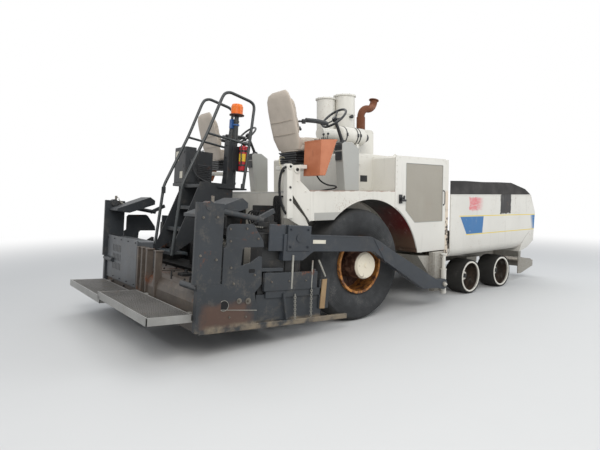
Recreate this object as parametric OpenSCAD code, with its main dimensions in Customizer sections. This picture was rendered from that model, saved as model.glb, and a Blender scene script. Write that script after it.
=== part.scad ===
// Asphalt paver: a wheeled tractor with a receiving hopper in front and a floating screed behind.
// Units are millimetres. +X is forward, +Y is left and +Z is up. Modules are written with the
// drive axle at x = 0 and the floor at z = 0; placed() then centres the machine on the origin.

/* [Drive wheels] */
// Outer diameter of a drive tyre
drive_d = 1440; // [1380:10:1460]
// Width of a drive tyre
drive_w = 440; // [400:10:450]
// Distance from the centre plane to the outer face of a drive tyre
drive_out = 1290; // [1270:5:1300]
// Diameter of the rim flange of a drive wheel
drive_rim_d = 740; // [680:10:780]
// Diameter of the hub cap
hub_cap_d = 330; // [280:10:360]

/* [Bogie wheels] */
// Outer diameter of a bogie tyre
bogie_d = 560; // [520:10:570]
// Width of a bogie tyre
bogie_w = 330; // [280:10:340]
// Distance from the centre plane to the outer face of a bogie tyre
bogie_out = 1200; // [1170:5:1210]
// Place of the bogie's kingpin ahead of the drive axle
bogie_x = 3118; // [3080:2:3140]
// Distance between the two wheels of a bogie
bogie_gap = 950; // [900:10:970]
// Diameter of the rim ring of a bogie wheel
bogie_rim_d = 500; // [460:10:510]
// Distance from the centre plane to the kingpin
kingpin_y = 795; // [790:1:800]
// Diameter of the kingpin
kingpin_d = 110; // [90:5:120]

/* [Body] */
// Half width over the fenders and cabinets
side_y = 1290; // [1280:5:1300]
// Thickness of the body sheets
sheet_t = 12; // [8:1:14]
// Rear end of the tractor deck
deck_rear = -855; // [-865:5:-850]
// Height of the deck and the fender tops
deck_z = 1670; // [1660:5:1690]
// Height of the top of the side cabinets
cabinet_z = 2150; // [2140:5:2180]
// Rear edge of a side cabinet
cabinet_rear = 630; // [625:5:640]
// Front edge of a side cabinet door
cabinet_front = 1764; // [1755:1:1770]
// Half width of the engine hood
hood_y = 860; // [850:5:870]
// Height of the top of the hood
hood_z = 2190; // [2180:5:2220]
// Height of the top of the raised cowl
cowl_z = 2600; // [2560:10:2620]
// Centre of the wheel arch ahead of the drive axle
arch_x = 160; // [150:5:170]
// Height of the centre of the wheel arch
arch_z = 592; // [585:1:600]
// Clearance between the drive tyre and the wheel arch
arch_fit = 42; // [35:1:50]

/* [Hopper] */
// Rear end of the hopper wings
hopper_rear = 1900; // [1895:5:1910]
// Foremost point of the hopper wings
hopper_front = 4556; // [4500:2:4570]
// Height of the top edge of the wings
hopper_z = 1625; // [1600:5:1650]
// Distance from the centre plane to the wing hinge
wing_hinge_y = 640; // [630:5:650]
// Height of the wing hinge
wing_hinge_z = 640; // [635:1:650]
// Wall thickness of the wings
wing_t = 16; // [10:1:20]
// Radius where the wing wall rolls into its floor
wing_roll = 130; // [90:10:150]

/* [Push rollers] */
// Place of the push roller axle
roller_x = 4950; // [4900:10:4980]
// Height of the push roller axle
roller_z = 285; // [270:5:300]
// Diameter of a push roller
roller_d = 180; // [150:5:190]
// Length of a push roller
roller_len = 740; // [700:10:760]

/* [Screed] */
// Place of the tow pins that the screed swings about
tow_x = 1500; // [1490:1:1510]
// Height of the tow pins
tow_z = 330; // [325:1:335]
// Diameter of a tow pin
tow_pin_d = 70; // [60:5:75]
// Angle by which the screed is carried above its working position
lift_deg = 4.2; // [3.6:0.1:4.6]
// Half width over the end gates
gate_y = 1500; // [1490:5:1520]
// Rear end of the end gates
gate_rear = -2385; // [-2400:5:-2380]
// Height of the end gate column
gate_z = 1233; // [1200:1:1250]
// Distance from the centre plane to the outer face of a tow arm
arm_y = 1480; // [1475:1:1485]
// Thickness of a tow arm
arm_t = 80; // [60:5:85]
// Rear edge of the walkway
walk_rear = -2858; // [-2880:2:-2840]
// Height of the top of the walkway in working position
walk_z = 190; // [180:5:200]
// Front face of the main screed
screed_front = -1262; // [-1280:2:-1260]
// Rear face of the main screed
screed_rear = -1700; // [-1710:5:-1690]

/* [Augers] */
// Place of the auger axle
auger_x = -1000; // [-1010:5:-995]
// Height of the auger axle
auger_z = 330; // [310:5:340]
// Diameter over the auger flights
auger_d = 400; // [360:10:410]

/* [Hidden] */
$fn = 48;
right = -1;
left = 1;
run_fit = 0.3;
axle_z = drive_d / 2;
drive_y = drive_out - drive_w / 2;
arch_r = norm([arch_x, arch_z - axle_z]) + drive_d / 2 + arch_fit;
bogie_z = bogie_d / 2;
bogie_y = bogie_out - bogie_w / 2;
walk_t = 40;
walk_low = 105;
x_min = tow_x + (walk_rear - tow_x) * cos(lift_deg) + (walk_low - tow_z) * sin(lift_deg);
x_max = roller_x + roller_d / 2;
shift_x = -(x_min + x_max) / 2;
frame_y = 780;
frame_t = 30;
rail_y = 530;
conveyor_z = 575;
post_w = 92;
wing_rear = 1895;
wing_front = 4290;
wing_barrel = wing_front - wing_rear;
lug_d = 50;
bogie_axle_d = 70;
roller_axle_d = 50;
wing_pin_d = 30;
seat_y = 940;
deck_t = 12;
dash_z = 2290;
arch_t = 10;
arch_fn = 240;
tow_body_x = 1440;
tube_x = -1765;
tube_z = 250;
tube_d = 90;

// Moves a module from the drive axle's datum to the origin of the machine
module placed() {
    translate([shift_x, 0, 0]) children();
}

// Draws a module that is written for the left side on either side
module on_side(side) {
    if (side == left) children();
    else mirror([0, 1, 0]) children();
}

// Both sides at once
module both_sides() {
    for (side = [right, left]) on_side(side) children();
}

// Carries the screed from its working position to its raised, parked one
module lifted() {
    translate([tow_x, 0, tow_z]) rotate([0, lift_deg, 0]) translate([-tow_x, 0, -tow_z]) children();
}

// Plate in the side view, from y0 to y1
module side_plate(points, y0, y1) {
    translate([0, y1, 0]) rotate([90, 0, 0]) linear_extrude(y1 - y0) polygon(points);
}

// Bar with its outline in the front view, from x0 to x1
module long_bar(points, x0, x1) {
    translate([x0, 0, 0]) rotate([90, 0, 90]) linear_extrude(x1 - x0) polygon(points);
}

// Box between two corners
module block(low, high) {
    translate(low) cube(high - low);
}

// Round bar along Y
module rod_y(x, z, y0, y1, d) {
    translate([x, y1, z]) rotate([90, 0, 0]) cylinder(h = y1 - y0, d = d);
}

// Body of revolution about an axle along Y, its profile given as radius and distance outward
module wheel_turned(x, z, y) {
    translate([x, y, z]) rotate([-90, 0, 0]) rotate_extrude() children();
}

// Round bar between two points
module strut(a, b, d) {
    v = b - a;
    len = norm(v);
    translate(a) rotate([0, acos(v[2] / len), atan2(v[1], v[0])]) cylinder(h = len, d = d, $fn = 24);
}

// Points of an arc about a centre
function arc(cx, cy, r, a0, a1, n) = [for (i = [0:n]) let (a = a0 + (a1 - a0) * i / n)
    [cx + r * cos(a), cy + r * sin(a)]];

// Tie-down lugs: low corner along x, y and z, then the place and height of the bore
lugs = [[deck_rear - 80, 700, 880, deck_rear - 40, 930], [4200, 530, 360, 4250, 400]];

// Side plates, cross members, lower outriggers, auger gearbox and tie-down lugs
module main_frame() {
    color("#e6e4dc") placed() {
        both_sides() {
            side_plate([[deck_rear, 560], [-400, 440], [1860, 440], [1860, 1500], [1300, 1640],
                [deck_rear, 1640]], frame_y - frame_t, frame_y);
            // rails beneath the hopper
            block([1860, rail_y, 450], [4440, rail_y + 30, 540]);
        }
        // rear bulkhead
        block([deck_rear, -frame_y + frame_t, 760], [deck_rear + 20, frame_y - frame_t, 1640]);
        // front bulkhead between the side plates and the hopper rails
        difference() {
            block([1830, -frame_y + frame_t, 440], [1860, frame_y - frame_t, 1500]);
            block([1829, -500, 550], [1861, 500, 860]);
        }
        // cross members below the conveyor, below the engine and beneath the hopper
        for (x = [-600, 400, 1400]) block([x, -frame_y + frame_t, 500], [x + 80, frame_y - frame_t, 560]);
        for (x = [520, 1500]) block([x, -frame_y + frame_t, 840], [x + 100, frame_y - frame_t, 900]);
        for (x = [bogie_x - 60, 4320]) block([x, -rail_y, 450], [x + 120, rail_y, 540]);
        // kingpin carriers of the two bogies
        both_sides() difference() {
            block([bogie_x - 150, rail_y + 30, 450], [bogie_x + 150, kingpin_y + 110, 540]);
            translate([bogie_x, kingpin_y, 449]) cylinder(h = 92, d = kingpin_d + 2 * run_fit);
        }
        // lower outriggers that hold the tow point guides
        both_sides() side_plate([[1180, 744], [1745, 700], [1745, 330], [1500, 380]], frame_y, 1250);
        // gearbox of the augers on its hanger
        side_plate([[auger_x - 70, auger_z - 80], [auger_x - 70, auger_z + 80], [auger_x - 20, auger_z + 80],
            [auger_x - 20, 900], [deck_rear, 900], [deck_rear, 780], [deck_rear - 20, 780],
            [deck_rear - 20, auger_z - 80]], -60, 60);
        rod_y(auger_x, auger_z, -70, 70, 90);
        // tie-down lugs
        both_sides() for (lug = lugs) difference() {
            block([lug[0], lug[1], lug[2]], [lug[0] + 100, lug[1] + 30, lug[2] + 100]);
            rod_y(lug[3], lug[4], lug[1] - 1, lug[1] + 31, lug_d);
        }
    }
}

// Engine and transmission, one closed mass inside the hood
module engine_block() {
    color("#3a3c3e") placed() block([420, -350, 900], [1700, 350, 1600]);
}

// Engine hood with its raised cowl
module hood() {
    color("#eceae2") placed() difference() {
        union() {
            side_plate([[0, deck_z], [0, hood_z - 20], [20, hood_z], [700, hood_z], [1840, hood_z - 30],
                [1840, deck_z - 100], [cabinet_rear + 20, deck_z - 100], [cabinet_rear + 20, deck_z]],
                -hood_y, hood_y);
            side_plate([[0, hood_z - 40], [0, cowl_z - 30], [30, cowl_z], [1030, cowl_z],
                [1060, cowl_z - 30], [1060, hood_z - 40]], -480, 480);
        }
        block([sheet_t, -hood_y + sheet_t, deck_z - 200], [1840 - sheet_t, hood_y - sheet_t, hood_z - 45]);
        block([2 * sheet_t, -480 + sheet_t, hood_z - 60], [1060 - sheet_t, 480 - sheet_t, cowl_z - sheet_t]);
    }
}

// Fender panels with the wheel arch, their tops and the arch lining
module fenders() {
    color("#e9e7df") placed() both_sides() difference() {
        union() {
            block([deck_rear, frame_y, deck_z - deck_t], [cabinet_rear - 5, side_y, deck_z]);
            side_plate([[deck_rear, 1314], [deck_rear, deck_z - deck_t], [cabinet_rear - 5, deck_z - deck_t],
                [cabinet_rear - 5, 1314]], side_y - sheet_t, side_y);
            intersection($fn = arch_fn) {
                wheel_turned(arch_x, arch_z, frame_y) translate([arch_r, 0])
                    square([arch_t, side_y - frame_y]);
                block([-480, frame_y, 800], [1090, side_y, deck_z - deck_t]);
            }
        }
        rod_y(arch_x, arch_z, frame_y - 1, side_y + 1, 2 * arch_r, $fn = arch_fn);
    }
}

// Outline of the side cabinet above the wheel arch
module cabinet_outline(grow) {
    difference() {
        polygon([[cabinet_rear, 795], [cabinet_rear, cabinet_z - 30], [cabinet_rear + 30, cabinet_z],
            [cabinet_front, cabinet_z], [cabinet_front, 795]]);
        translate([arch_x, arch_z]) circle(r = arch_r + grow, $fn = arch_fn);
    }
}

// Side cabinets ahead of the fenders, open behind their doors, and the corner posts
module cabinets() {
    color("#e9e7df") placed() both_sides() {
        difference() {
            translate([0, side_y - sheet_t - 1, 0]) rotate([90, 0, 0])
                linear_extrude(side_y - sheet_t - 1 - hood_y) cabinet_outline(arch_t + 2);
            translate([0, side_y, 0]) rotate([90, 0, 0]) linear_extrude(side_y - hood_y - 20)
                difference() {
                    polygon([[cabinet_rear + 60, 840], [cabinet_rear + 60, cabinet_z - 60],
                        [cabinet_front - 60, cabinet_z - 60], [cabinet_front - 60, 840]]);
                    translate([arch_x, arch_z]) circle(r = arch_r + 45, $fn = arch_fn);
                }
        }
        // corner post
        block([cabinet_front + 6, hood_y, 690],
            [cabinet_front + 6 + post_w - 20, side_y - 4, cabinet_z - 10]);
    }
}

// Mesh opening of a cabinet door, in the side view
module mesh_outline() {
    polygon([[852, 1405], [852, 2055], [1692, 2055], [1692, 1228], [1052, 1228]]);
}

// Cabinet door with its mesh
module cabinet_door() {
    difference() {
        translate([0, side_y, 0]) rotate([90, 0, 0]) linear_extrude(sheet_t)
            cabinet_outline(arch_t + 5);
        translate([0, side_y + 1, 0]) rotate([90, 0, 0]) linear_extrude(sheet_t + 2) mesh_outline();
    }
    translate([0, side_y - 3, 0]) rotate([90, 0, 0]) linear_extrude(6) mesh_outline();
}

module door_right() {
    color("#ecebe4") placed() on_side(right) cabinet_door();
}

module door_left() {
    color("#ecebe4") placed() on_side(left) cabinet_door();
}

// Operator deck between the fenders
module deck() {
    color("#d9d7cf") placed() block([deck_rear, -frame_y, deck_z - 30], [0, frame_y, deck_z - 18]);
}

// Dash console beside the hood
module dash_console() {
    color("#b9b9b4") placed() both_sides()
        side_plate([[-150, deck_z], [-200, 2180], [-200, 2260], [-160, dash_z], [-20, dash_z],
            [150, 2200], [150, deck_z]], hood_y, 1130);
}

// Air cleaner can on its saddle
module air_cleaner() {
    color("#ecebe6") placed() {
        translate([0, -690, 2440]) rotate([0, 90, 0]) cylinder(h = 540, d = 240);
        difference() {
            for (x = [90, 400]) block([x, -760, hood_z], [x + 40, -620, 2350]);
            translate([0, -690, 2440]) rotate([0, 90, 0]) cylinder(h = 540, d = 240 + run_fit);
        }
    }
}

// Square stack on the cowl
module stack_duct() {
    color("#e6e6e2") placed() difference() {
        union() {
            block([224, -480, cowl_z], [600, -110, 3030]);
            block([200, -504, 3030], [624, -86, 3050]);
        }
        block([236, -468, cowl_z + 12], [588, -122, 3051]);
    }
}

// Exhaust pipe with two elbows and a rain cap
module exhaust() {
    color("#8a5238") placed() {
        translate([860, -400, cowl_z]) cylinder(h = 190, d = 130);
        translate([1000, -400, cowl_z + 190]) rotate([90, 0, 0])
            rotate([0, 0, 90]) rotate_extrude(angle = 90) translate([140, 0]) circle(d = 110);
        translate([1000, -400, cowl_z + 470]) rotate([90, 0, 0])
            rotate([0, 0, 270]) rotate_extrude(angle = 90) translate([140, 0]) circle(d = 110);
        translate([1140, -400, cowl_z + 470]) rotate([0, 12, 0]) cylinder(h = 14, d = 150);
    }
}

// Rear corner pedestals that carry the seats
module pedestals() {
    color("#e9e7df") placed() both_sides()
        side_plate([[-1180, 1430], [-1180, 1900], [-1060, 1960], [-850, 1960], [-790, 1850], [-790, deck_z],
            [deck_rear, deck_z], [deck_rear, 1314]], seat_y - 130, seat_y + 130);
}

// Plain solids of the two seats: base, cushion and high back
module seats() {
    color("#a9a196") placed() both_sides() {
        block([-930, seat_y - 170, 1960], [-560, seat_y + 170, 2130]);
        side_plate([[-925, 2130], [-1085, 2760], [-1060, 2830], [-1020, 2835], [-960, 2600], [-860, 2290],
            [-490, 2300], [-450, 2240], [-480, 2130]], seat_y - 250, seat_y + 250);
    }
}

// Tapered control pods ahead of the seats
module consoles() {
    color("#b06a45") placed() both_sides() {
        side_plate([[-880, 1835], [-860, 2232], [-620, 2250], [-800, 1835]], seat_y + 251, 1490);
        block([-800, seat_y + 170, 1990], [-760, seat_y + 251, 2030]);
    }
}

// Steering wheels on their tilted columns
module steering_wheels() {
    color("#1d1d1f") placed() both_sides()
        translate([-90, 1000, dash_z]) cylinder(h = 30, d = 110);
    color("#1d1d1f") placed() both_sides()
        translate([-90, 1000, dash_z + 12]) rotate([0, -30, 0]) {
            cylinder(h = 290, d = 50);
            translate([0, 0, 290]) rotate_extrude() translate([190, 0]) circle(d = 30, $fn = 20);
            for (a = [30, 150, 270]) rotate([0, 0, a]) translate([0, -12, 284]) cube([185, 24, 12]);
        }
}

// Fixed floor, rear wall, front apron and hinge lugs of the hopper
module hopper_floor() {
    color("#4a4742") placed() {
        block([1860, -rail_y - 60, 540], [4420, rail_y + 60, 560]);
        // rear wall with the mouth of the conveyor tunnel
        difference() {
            block([1860, -1240, 700], [1880, 1240, 1900]);
            block([1859, -500, 699], [1881, 500, 900]);
        }
        // lugs and pins of the wing hinges
        both_sides() {
            for (x = [[1860, wing_rear - run_fit], [wing_front + run_fit, wing_front + 25]])
                block([x[0], rail_y + 60, 540], [x[1], wing_hinge_y + 25, wing_hinge_z + 15]);
            for (x = [wing_rear - 20, wing_front - 100])
                translate([x, wing_hinge_y, wing_hinge_z]) rotate([0, 90, 0])
                    cylinder(h = 120, d = wing_pin_d);
        }
        // front apron
        block([4400, -wing_hinge_y + 40, 560], [4420, wing_hinge_y - 40, 860]);
    }
}

// Slat conveyor from the hopper through the tractor to the augers
module conveyor() {
    color("#55504a") placed() {
        block([-840, -480, conveyor_z - 15], [4380, 480, conveyor_z]);
        for (x = [-760:260:4300]) block([x, -470, conveyor_z], [x + 30, 470, conveyor_z + 25]);
    }
}

// Front view outline of a wing: floor, rolled corner and wall, drawn for the left side
module wing_section() {
    inner = side_y - wing_t;
    r = wing_roll;
    polygon(concat(
        [[wing_hinge_y, wing_hinge_z + 20], [wing_hinge_y, wing_hinge_z + 20 + wing_t]],
        arc(side_y - r, wing_hinge_z + 20 + r, r - wing_t, 270, 360, 8),
        [[inner, hopper_z], [side_y, hopper_z]],
        arc(side_y - r, wing_hinge_z + 20 + r, r, 360, 270, 8)));
}

// Hopper wing that folds inward about its hinge
module hopper_wing() {
    difference() {
        union() {
            hopper_wing_panels();
            translate([wing_rear, wing_hinge_y, wing_hinge_z]) rotate([0, 90, 0])
                cylinder(h = wing_barrel, d = 50);
        }
        translate([wing_rear - 1, wing_hinge_y, wing_hinge_z]) rotate([0, 90, 0])
            cylinder(h = wing_barrel + 2, d = wing_pin_d + 2 * run_fit);
    }
}

module hopper_wing_panels() {
    intersection() {
        union() {
            long_bar_of_wing();
            // front wall of the wing
            difference() {
                block([4020, wing_hinge_y, 600], [4600, side_y, 1200]);
                side_plate([[4000, 590], [4370, 1201], [4000, 1201]], wing_hinge_y - 1, side_y + 1);
                side_plate([[4036, 590], [4406, 1201], [4700, 1201], [4700, 590]],
                    wing_hinge_y - 1, side_y - 20);
            }
        }
        // relief over the front hinge lug
        difference() {
            block([hopper_rear - 1, 500, 590], [4700, side_y + 1, 1700]);
            block([wing_front - 6, 499, 589], [wing_front + 40, wing_hinge_y + 50, 720]);
        }
        side_plate([[hopper_rear, hopper_z], [4388, hopper_z], [hopper_front, 1303], [4516, 781],
            [4296, 664], [4006, 600], [hopper_rear, 600]], 500, side_y + 1);
    }
}

module long_bar_of_wing() {
    translate([hopper_rear, 0, 0]) rotate([90, 0, 90]) linear_extrude(2700) wing_section();
}

module hopper_wing_right() {
    color("#e8e6de") placed() on_side(right) hopper_wing();
}

module hopper_wing_left() {
    color("#e8e6de") placed() on_side(left) hopper_wing();
}

// Final drives that carry the drive wheels on the side plates
module drive_axle() {
    color("#2e3033") placed() both_sides() {
        rod_y(0, axle_z, frame_y, frame_y + 25, 460);
        rod_y(0, axle_z, frame_y + 25, drive_y - 109, 360);
    }
}

// Deep rim with the planetary hub and its cap
module drive_rim() {
    half = drive_w / 2;
    wheel_turned(0, axle_z, drive_y) {
        r = drive_rim_d / 2;
        polygon([[r - 18, -half + 20], [r - run_fit, -half + 20], [r - run_fit, half - 25],
            [r - 30, half - 25], [r - 30, half - 40], [r - 18, half - 60]]);
    }
    wheel_turned(0, axle_z, drive_y) polygon([[0, -109], [drive_rim_d / 2 - 10, -109],
        [drive_rim_d / 2 - 10, -85], [hub_cap_d / 2 + 20, -85], [hub_cap_d / 2 + 10, half + 40],
        [hub_cap_d / 2 - 10, half + 80], [0, half + 80]]);
}

module drive_rim_right() {
    color("#8a4a2a") placed() on_side(right) drive_rim();
}

module drive_rim_left() {
    color("#8a4a2a") placed() on_side(left) drive_rim();
}

// Section of a tyre, with its bead radius, outer radius and half width
module tyre_section(bead, outer, half) {
    h = outer - bead;
    shoulder = min(half * 0.18, h * 0.3);
    polygon([[bead, -half * 0.72], [bead + h * 0.3, -half * 0.94], [bead + h * 0.6, -half],
        [outer - shoulder, -half * 0.93], [outer - shoulder * 0.25, -half * 0.75], [outer, -half * 0.45],
        [outer, half * 0.45], [outer - shoulder * 0.25, half * 0.75], [outer - shoulder, half * 0.93],
        [bead + h * 0.6, half], [bead + h * 0.3, half * 0.94], [bead, half * 0.72]]);
}

module drive_tyre() {
    wheel_turned(0, axle_z, drive_y) tyre_section(drive_rim_d / 2, drive_d / 2, drive_w / 2);
}

module drive_tyre_right() {
    color("#37383a") placed() on_side(right) drive_tyre();
}

module drive_tyre_left() {
    color("#37383a") placed() on_side(left) drive_tyre();
}

// Walking beam of a bogie with its kingpin and axle stubs
module bogie_beam() {
    side_plate([[bogie_x - bogie_gap / 2 - 70, bogie_z - 60], [bogie_x - bogie_gap / 2 - 70, bogie_z + 60],
        [bogie_x - 120, bogie_z + 110], [bogie_x + 120, bogie_z + 110],
        [bogie_x + bogie_gap / 2 + 70, bogie_z + 60], [bogie_x + bogie_gap / 2 + 70, bogie_z - 60]],
        kingpin_y - 30, kingpin_y + 30);
    translate([bogie_x, kingpin_y, bogie_z + 110]) cylinder(h = 540 - bogie_z - 110, d = kingpin_d);
    translate([bogie_x, kingpin_y, bogie_z + 110]) cylinder(h = 450 - bogie_z - 110, d = kingpin_d + 70);
    for (x = [bogie_x - bogie_gap / 2, bogie_x + bogie_gap / 2])
        rod_y(x, bogie_z, kingpin_y + 30, bogie_y + 60, bogie_axle_d);
}

module bogie_beam_right() {
    color("#3b3c3e") placed() on_side(right) bogie_beam();
}

module bogie_beam_left() {
    color("#3b3c3e") placed() on_side(left) bogie_beam();
}

// Deep white rim of a bogie wheel
module bogie_rim(end) {
    half = bogie_w / 2;
    r = bogie_rim_d / 2;
    bore = bogie_axle_d / 2 + run_fit;
    wheel_turned(bogie_x + end * bogie_gap / 2, bogie_z, bogie_y) {
        polygon([[r - 14, -half + 5], [r - run_fit, -half + 5], [r - run_fit, half - 5], [r - 26, half - 5],
            [r - 26, half - 15], [r - 14, half - 40]]);
        polygon([[bore, -60], [r - 7, -60], [r - 7, -44], [80, -44], [70, 30], [bore, 30]]);
    }
}

module bogie_rim_rr() {
    color("#dcdad2") placed() on_side(right) bogie_rim(-1);
}

module bogie_rim_rf() {
    color("#dcdad2") placed() on_side(right) bogie_rim(1);
}

module bogie_rim_lr() {
    color("#dcdad2") placed() on_side(left) bogie_rim(-1);
}

module bogie_rim_lf() {
    color("#dcdad2") placed() on_side(left) bogie_rim(1);
}

module bogie_tyre(end) {
    wheel_turned(bogie_x + end * bogie_gap / 2, bogie_z, bogie_y)
        tyre_section(bogie_rim_d / 2, bogie_d / 2, bogie_w / 2);
}

module bogie_tyre_rr() {
    color("#2c2d2f") placed() on_side(right) bogie_tyre(-1);
}

module bogie_tyre_rf() {
    color("#2c2d2f") placed() on_side(right) bogie_tyre(1);
}

module bogie_tyre_lr() {
    color("#2c2d2f") placed() on_side(left) bogie_tyre(-1);
}

module bogie_tyre_lf() {
    color("#2c2d2f") placed() on_side(left) bogie_tyre(1);
}

// Push bar with the brackets of the two rollers
module push_bar() {
    color("#5a4a40") placed() {
        block([4440, -1060, 440], [4522, 1060, 560]);
        both_sides() {
            for (y = [250, 1040])
                side_plate([[4442, 130], [4442, 440], [4522, 440], [roller_x + 50, roller_z + 60],
                    [roller_x + 50, roller_z - 50], [4560, 130]], y, y + 20);
            rod_y(roller_x, roller_z, 250, 1060, roller_axle_d);
        }
    }
}

// Push roller turning on its axle
module push_roller() {
    difference() {
        rod_y(roller_x, roller_z, 285, 285 + roller_len, roller_d);
        rod_y(roller_x, roller_z, 284, 286 + roller_len, roller_axle_d + 2 * run_fit);
    }
}

module push_roller_right() {
    color("#7d7973") placed() on_side(right) push_roller();
}

module push_roller_left() {
    color("#7d7973") placed() on_side(left) push_roller();
}

// Tow point cylinders and their guides
module tow_points() {
    color("#55585b") placed() both_sides() {
        block([tow_body_x, 1250, 200], [tow_body_x + 120, 1330, 780]);
        translate([tow_body_x + 60, 1375, 420]) cylinder(h = 350, d = 90);
        rod_y(tow_x, tow_z, 1330, arm_y + 20, tow_pin_d);
    }
}

// Tow arms from the tow pins back to the screed
module tow_arms() {
    color("#454a50") placed() lifted() both_sides() difference() {
        union() {
            side_plate([[-1420, 700], [-1420, 985], [-88, 985], [80, 932], [318, 819], [1321, 400],
                [tow_x, tow_z + 75], [tow_x, tow_z - 75], [1334, 278], [1036, 280], [256, 651], [-18, 800],
                [-1000, 800], [-1150, 700]], arm_y - arm_t, arm_y);
            rod_y(tow_x, tow_z, arm_y - arm_t, arm_y, 150);
        }
        rod_y(tow_x, tow_z, arm_y - arm_t - 1, arm_y + 1, tow_pin_d + 2 * run_fit);
    }
}

// Main screed: sole plate, heated box, upper frame and the sleeves of the extension tubes
module screed_main() {
    color("#3f4448") placed() lifted() {
        block([screed_rear, -1440, 2], [screed_front, 1440, 30]);
        block([screed_rear, -1440, 30], [screed_front, 1440, 430]);
        both_sides() {
            block([-1640, 1300, 430], [-1340, arm_y - arm_t, 985]);
            block([-1500, 500, 430], [-1380, 620, 900]);
            // sleeve of the extension tube
            difference() {
                block([tube_x - 60, 1230, tube_z - 60], [screed_rear, 1400, tube_z + 60]);
                rod_y(tube_x, tube_z, 1229, 1401, tube_d + 2 * run_fit);
            }
        }
        // top beam
        block([-1500, -1300, 900], [-1380, 1300, 985]);
    }
}

// Screed extension that slides out on its tube
module extension() {
    difference() {
        block([gate_rear + 20, 40, 2], [-1840, 1430, 430]);
        block([gate_rear + 40, 60, 60], [-1860, 1410, 410]);
    }
    block([-1840, 40, 150], [tube_x + 60, 60, 320]);
    block([-1840, 1410, 150], [tube_x + 60, 1430, 320]);
    rod_y(tube_x, tube_z, 40, 1430, tube_d);
}

module extension_right() {
    color("#4a4743") placed() lifted() on_side(right) extension();
}

module extension_left() {
    color("#4a4743") placed() lifted() on_side(left) extension();
}

// End gate: column, stepped plates and shoe
module end_gate() {
    difference() {
        union() {
            block([gate_rear, 1430, 20], [-2135, gate_y, gate_z]);
            side_plate([[-2135, 20], [-2135, 1050], [-2060, 1090], [-1870, 1090], [-1813, 1060],
                [-1719, 850], [-1719, 750], [-1752, 504], [-1692, 170], [-1692, 20]],
                gate_y - 30, gate_y - 5);
            block([gate_rear, gate_y - 40, 2], [-440, gate_y - 5, 60]);
        }
        side_plate([[-1963, 700], [-1963, 845], [-1700, 850], [-1700, 750], [-1880, 690]],
            gate_y - 31, gate_y + 1);
        rod_y(-2119, 282, 1430, gate_y + 1, 100);
    }
    block([-1692, gate_y - 40, 60], [-830, gate_y - 10, 560]);
}

module end_gate_right() {
    color("#565c62") placed() lifted() on_side(right) end_gate();
}

module end_gate_left() {
    color("#565c62") placed() lifted() on_side(left) end_gate();
}

// Walkway grating behind an extension
module walkway(top) {
    block([walk_rear, 20, top - walk_t], [gate_rear - 22, 1420, top]);
    for (y = [120, 1280]) block([gate_rear - 22, y, top - walk_t], [gate_rear + 20, y + 40, top]);
}

module walkway_right() {
    color("#8b8c88") placed() lifted() on_side(right) walkway(walk_z);
}

module walkway_left() {
    color("#8b8c88") placed() lifted() on_side(left) walkway(walk_low + walk_t);
}

// Treads of the stairs: place and height
stair_steps = [[-2143, 676], [-2017, 960], [-1902, 1233], [-1805, 1513]];

// Bends of a handrail: place and height
rail_points = [[-2144, 660], [-2046, 1413], [-1828, 2583], [-1574, 2684], [-1143, 2618], [-1223, 1738],
    [-1240, 1490]];
rail_at = 275;
rail_d = 38;

// Stairs to the platform, with two handrail loops
module stairs() {
    color("#34393d") placed() lifted() {
        for (s = stair_steps) block([s[0], -250, s[1] - 40], [s[0] + 200, 250, s[1]]);
        both_sides() side_plate([[-2160, 640], [-2160, 700], [-1830, 1540], [-1380, 1540], [-1380, 985],
            [-1640, 985]], 250, 262);
        block([-1600, -290, 1480], [-1190, 290, 1500]);
        both_sides() for (i = [0:len(rail_points) - 2])
            strut([rail_points[i][0], rail_at, rail_points[i][1]],
                [rail_points[i + 1][0], rail_at, rail_points[i + 1][1]], rail_d - (i % 2) * 3);
        both_sides() strut([-1910, rail_at, 2140], [-1180, rail_at, 2070], rail_d - 8);
    }
}

// Beacon on its pole
module beacon() {
    color("#f26a10") placed() lifted() {
        translate([-1230, 0, 1500]) cylinder(h = 970, d = 60);
        translate([-1230, 0, 2470]) cylinder(h = 20, d = 200);
        translate([-1230, 0, 2490]) cylinder(h = 140, d = 160);
    }
}

// Fire extinguisher
module extinguisher() {
    color("#b02030") placed() lifted() translate([-1170, -131, 1740]) {
        cylinder(h = 320, d = 120);
        translate([0, 0, 320]) cylinder(h = 50, d = 40);
    }
}

// Control boxes beside the stairs
module control_boxes() {
    color("#2b2f33") placed() lifted() {
        block([-1920, 262, 1400], [-1680, 560, 1840]);
        block([-1600, 0, 1500], [-1380, 240, 1840]);
        block([-1360, -60, 1500], [-1270, 60, 2120]);
        block([-1300, -70, 1740], [-1110, -60, 2060]);
        block([-1230, -190, 1730], [-1110, -60, 1740]);
    }
}

// Helical flight about the X axis of its own: radii r0 and r1, pitch, turns and thickness
module flight(r0, r1, pitch, turns, thick) {
    n = round(turns * 20);
    points = [for (i = [0:n]) let (a = 360 * turns * i / n, x = pitch * turns * i / n)
        for (p = [[0, r0], [0, r1], [thick, r1], [thick, r0]]) [x + p[0], p[1] * cos(a), p[1] * sin(a)]];
    sides = [for (i = [0:n - 1]) for (k = [0:3]) for (half = [0, 1]) let (j = (k + 1) % 4)
        half == 0 ? [4 * i + k, 4 * i + j, 4 * i + 4 + j] : [4 * i + k, 4 * i + 4 + j, 4 * i + 4 + k]];
    ends = [[3, 2, 1], [3, 1, 0], [4 * n, 4 * n + 1, 4 * n + 2], [4 * n, 4 * n + 2, 4 * n + 3]];
    polyhedron(points, concat(sides, ends), 4);
}

// Auger: shaft with a helical flight
module auger() {
    rod_y(auger_x, auger_z, 70, 1380, 70);
    translate([auger_x, 90, auger_z]) rotate([0, 0, 90]) flight(30, auger_d / 2, 360, 3.5, 14);
}

module auger_right() {
    color("#7a6a5c") placed() on_side(right) auger();
}

module auger_left() {
    color("#7a6a5c") placed() on_side(left) auger();
}

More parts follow.
